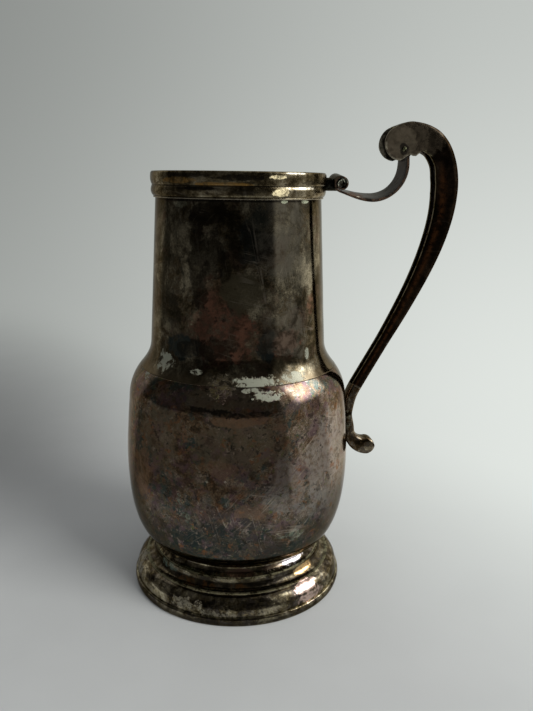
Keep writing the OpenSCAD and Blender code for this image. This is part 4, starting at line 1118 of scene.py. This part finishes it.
# stage: pale floor that runs out into a pale backdrop, a dim room in front, a window to the right
def sideways(degrees):
    # a level direction, counted from the camera's side of the jug towards the right of the picture
    a, t = math.radians(degrees), math.radians(view["turn"])
    x, y = math.sin(a), -math.cos(a)
    return (x * math.cos(t) + y * math.sin(t), -x * math.sin(t) + y * math.cos(t), 0.0)


def towards(tree, direction, degrees):
    return vector(tree, "DOT_PRODUCT", direction, sideways(degrees), "Value")


def shinyRay(tree):
    rays = put(tree, "ShaderNodeLightPath").outputs
    return calc(tree, "MAXIMUM", rays["Is Glossy Ray"], rays["Is Transmission Ray"])


backdrop = dict(left=0.31, right=0.74, across=(-0.60, 0.46), low=1.08, high=0.75, rise=(-0.30, 0.28),
                tint=(0.955, 1.0, 0.957))


def backdropColour(tree, direction):
    # pale grey with painted light falling from the right: darker to the left and towards the top of the
    # picture
    across, rise = towards(tree, direction, 90), split(tree, direction)[2]
    level = ease(tree, across, *backdrop["across"], backdrop["left"], backdrop["right"])
    fall = ease(tree, rise, *backdrop["rise"], backdrop["low"], backdrop["high"])
    level = calc(tree, "MULTIPLY", level, fall)
    return vector(tree, "MULTIPLY", grey(tree, level), backdrop["tint"])


# walls by brightness and by the degrees over which they begin
room = dict(ambient=0.30, front=0.07, frontFloor=0.17, rightWall=0.45, rightTurn=(47, 54), farWall=0.95,
            farTurn=(80, 112), leftWall=0.42, leftTurn=(-122, -106), behindTurn=(140, 158),
            tint=(1.0, 0.97, 0.91))


def roomColour(tree, direction, front):
    # what polished metal sees: a dim room in front, pale walls at right and far left, the backdrop behind
    across, ahead = towards(tree, direction, 90), towards(tree, direction, 0)
    turn = calc(tree, "MULTIPLY", calc(tree, "ARCTAN2", across, ahead), 180 / math.pi)
    level = ease(tree, turn, *room["rightTurn"], front, room["rightWall"])
    level = calc(tree, "MAXIMUM", level, ease(tree, turn, *room["farTurn"], 0.0, room["farWall"]))
    level = calc(tree, "MAXIMUM", level, ease(tree, turn, *room["leftTurn"], room["leftWall"], 0.0))
    behind = ease(tree, calc(tree, "ABSOLUTE", turn), *room["behindTurn"])
    walls = vector(tree, "MULTIPLY", grey(tree, level), room["tint"])
    return blend(tree, behind, walls, backdropColour(tree, direction))


# a pale pane to the right, seen only in the metal
pane = dict(bright=6.0, sill=(0.16, 0.44), top=(0.62, 0.86), side=(0.880, 0.965))


def addWorld():
    world = bpy.data.worlds.new("studio")
    scene.world = world
    tree = emptyTree(world)
    out, light = put(tree, "ShaderNodeOutputWorld"), put(tree, "ShaderNodeBackground")
    tree.links.new(light.outputs[0], out.inputs[0])
    direction = put(tree, "ShaderNodeTexCoord").outputs["Generated"]
    rise = split(tree, direction)[2]
    level = vector(tree, "NORMALIZE", vector(tree, "MULTIPLY", direction, (1, 1, 0)))
    mask = calc(tree, "MULTIPLY", ease(tree, rise, *pane["sill"]), ease(tree, rise, *pane["top"], 1.0, 0.0))
    mask = calc(tree, "MULTIPLY", mask, ease(tree, towards(tree, level, 90), *pane["side"]))
    mirrored = blend(tree, mask, roomColour(tree, direction, room["front"]), (pane["bright"],) * 3)
    colour = blend(tree, shinyRay(tree), (room["ambient"],) * 3, mirrored)
    seen = put(tree, "ShaderNodeLightPath").outputs["Is Camera Ray"]
    tree.links.new(blend(tree, seen, colour, backdropColour(tree, direction)), light.inputs["Color"])


# the painted soft shade's place and reach are in the camera's view, across and up
ground = dict(colour=(0.625, 0.648, 0.652), half=6.0, drop=0.0002, rough=0.8, uneven=0.025, cloudScale=14.0,
              cloud=(0.3, 0.7), leftShade=0.57, shadeAt=(-0.40, -0.315, 0), shadeReach=(0.26, 0.17, 1),
              shadeFade=(0.1, 1.0), ahead=(0.3, 0.6), behind=(-0.04, 0.26), farOff=(0.5, 1.1),
              mirrored=(0.12, 0.22))


def addFloor():
    mesh = bpy.data.meshes.new("floor")
    half, z = ground["half"], -ground["drop"]
    corners = [(-half, -half, z), (half, -half, z), (half, half, z), (-half, half, z)]
    mesh.from_pydata(corners, [], [(0, 1, 2, 3)])
    floor = bpy.data.objects.new("floor", mesh)
    scene.collection.objects.link(floor)
    mat = bpy.data.materials.new("paleGround")
    tree = emptyTree(mat)
    out = put(tree, "ShaderNodeOutputMaterial")
    skin = put(tree, "ShaderNodeBsdfPrincipled", {"Roughness": ground["rough"]})
    coords = put(tree, "ShaderNodeTexCoord").outputs["Object"]
    tones = (1 - ground["uneven"], 1 + ground["uneven"])
    dark, light = ([c * tone for c in ground["colour"]] for tone in tones)
    cloud = ease(tree, noise(tree, coords, ground["cloudScale"], 3.0), *ground["cloud"])
    colour = blend(tree, cloud, dark, light)
    far = vector(tree, "LENGTH", coords, out="Value")
    eye = vector(tree, "NORMALIZE", vector(tree, "SUBTRACT", coords, [c * mm for c in view["place"]]))
    # a painted soft shadow to the left of the jug, only ahead of the camera
    seenAt = join(tree, towards(tree, eye, 90), split(tree, eye)[2])
    off = vector(tree, "DIVIDE", vector(tree, "SUBTRACT", seenAt, ground["shadeAt"]), ground["shadeReach"])
    off = vector(tree, "LENGTH", off, out="Value")
    shade = ease(tree, off, *ground["shadeFade"], 1.0 - ground["leftShade"], 0.0)
    ahead = ease(tree, towards(tree, eye, 180), *ground["ahead"])
    shade = calc(tree, "SUBTRACT", 1.0, calc(tree, "MULTIPLY", shade, ahead))
    shade = grey(tree, shade)
    tree.links.new(vector(tree, "MULTIPLY", colour, shade), skin.inputs["Base Color"])
    # behind and far off, the ground glows with the backdrop's painted light and turns into the backdrop
    # without a horizon
    pale = vector(tree, "MULTIPLY", backdropColour(tree, eye), shade)
    glow = put(tree, "ShaderNodeEmission", {"Color": pale})
    share = calc(tree, "MAXIMUM", ease(tree, towards(tree, coords, 135), *ground["behind"]),
                 ease(tree, far, *ground["farOff"]))
    seen = put(tree, "ShaderNodeMixShader", {0: share, 1: skin.outputs[0], 2: glow.outputs[0]})
    # polished metal sees the ground near the jug and the room beyond it
    beyond = roomColour(tree, vector(tree, "NORMALIZE", coords), room["frontFloor"])
    around = put(tree, "ShaderNodeEmission", {"Color": beyond})
    away = ease(tree, far, *ground["mirrored"])
    mirrored = put(tree, "ShaderNodeMixShader", {0: away, 1: skin.outputs[0], 2: around.outputs[0]})
    mix = put(tree, "ShaderNodeMixShader", {0: shinyRay(tree), 1: seen.outputs[0], 2: mirrored.outputs[0]})
    tree.links.new(mix.outputs[0], out.inputs[0])
    mesh.materials.append(mat)


window = dict(turn=54.0, rise=30.0, far=1.25, aim=0.11, wide=0.72, high=0.80, power=13.5,
              colour=(1.0, 0.985, 0.95))


def addWindow():
    data = bpy.data.lights.new("windowLight", "AREA")
    data.shape, data.size, data.size_y = "RECTANGLE", window["wide"], window["high"]
    data.energy, data.color = window["power"], window["colour"]
    lamp = bpy.data.objects.new("windowLight", data)
    lamp.visible_glossy = False
    side, rise = Vector(sideways(window["turn"])), math.radians(window["rise"])
    away = side * math.cos(rise) + Vector((0, 0, math.sin(rise)))
    lamp.location = Vector((0, 0, window["aim"])) + away * window["far"]
    lamp.rotation_euler = away.to_track_quat("Z", "Y").to_euler()
    scene.collection.objects.link(lamp)


addWorld()
addFloor()
addWindow()
scene.view_settings.view_transform = "Standard"
print("stage ready")
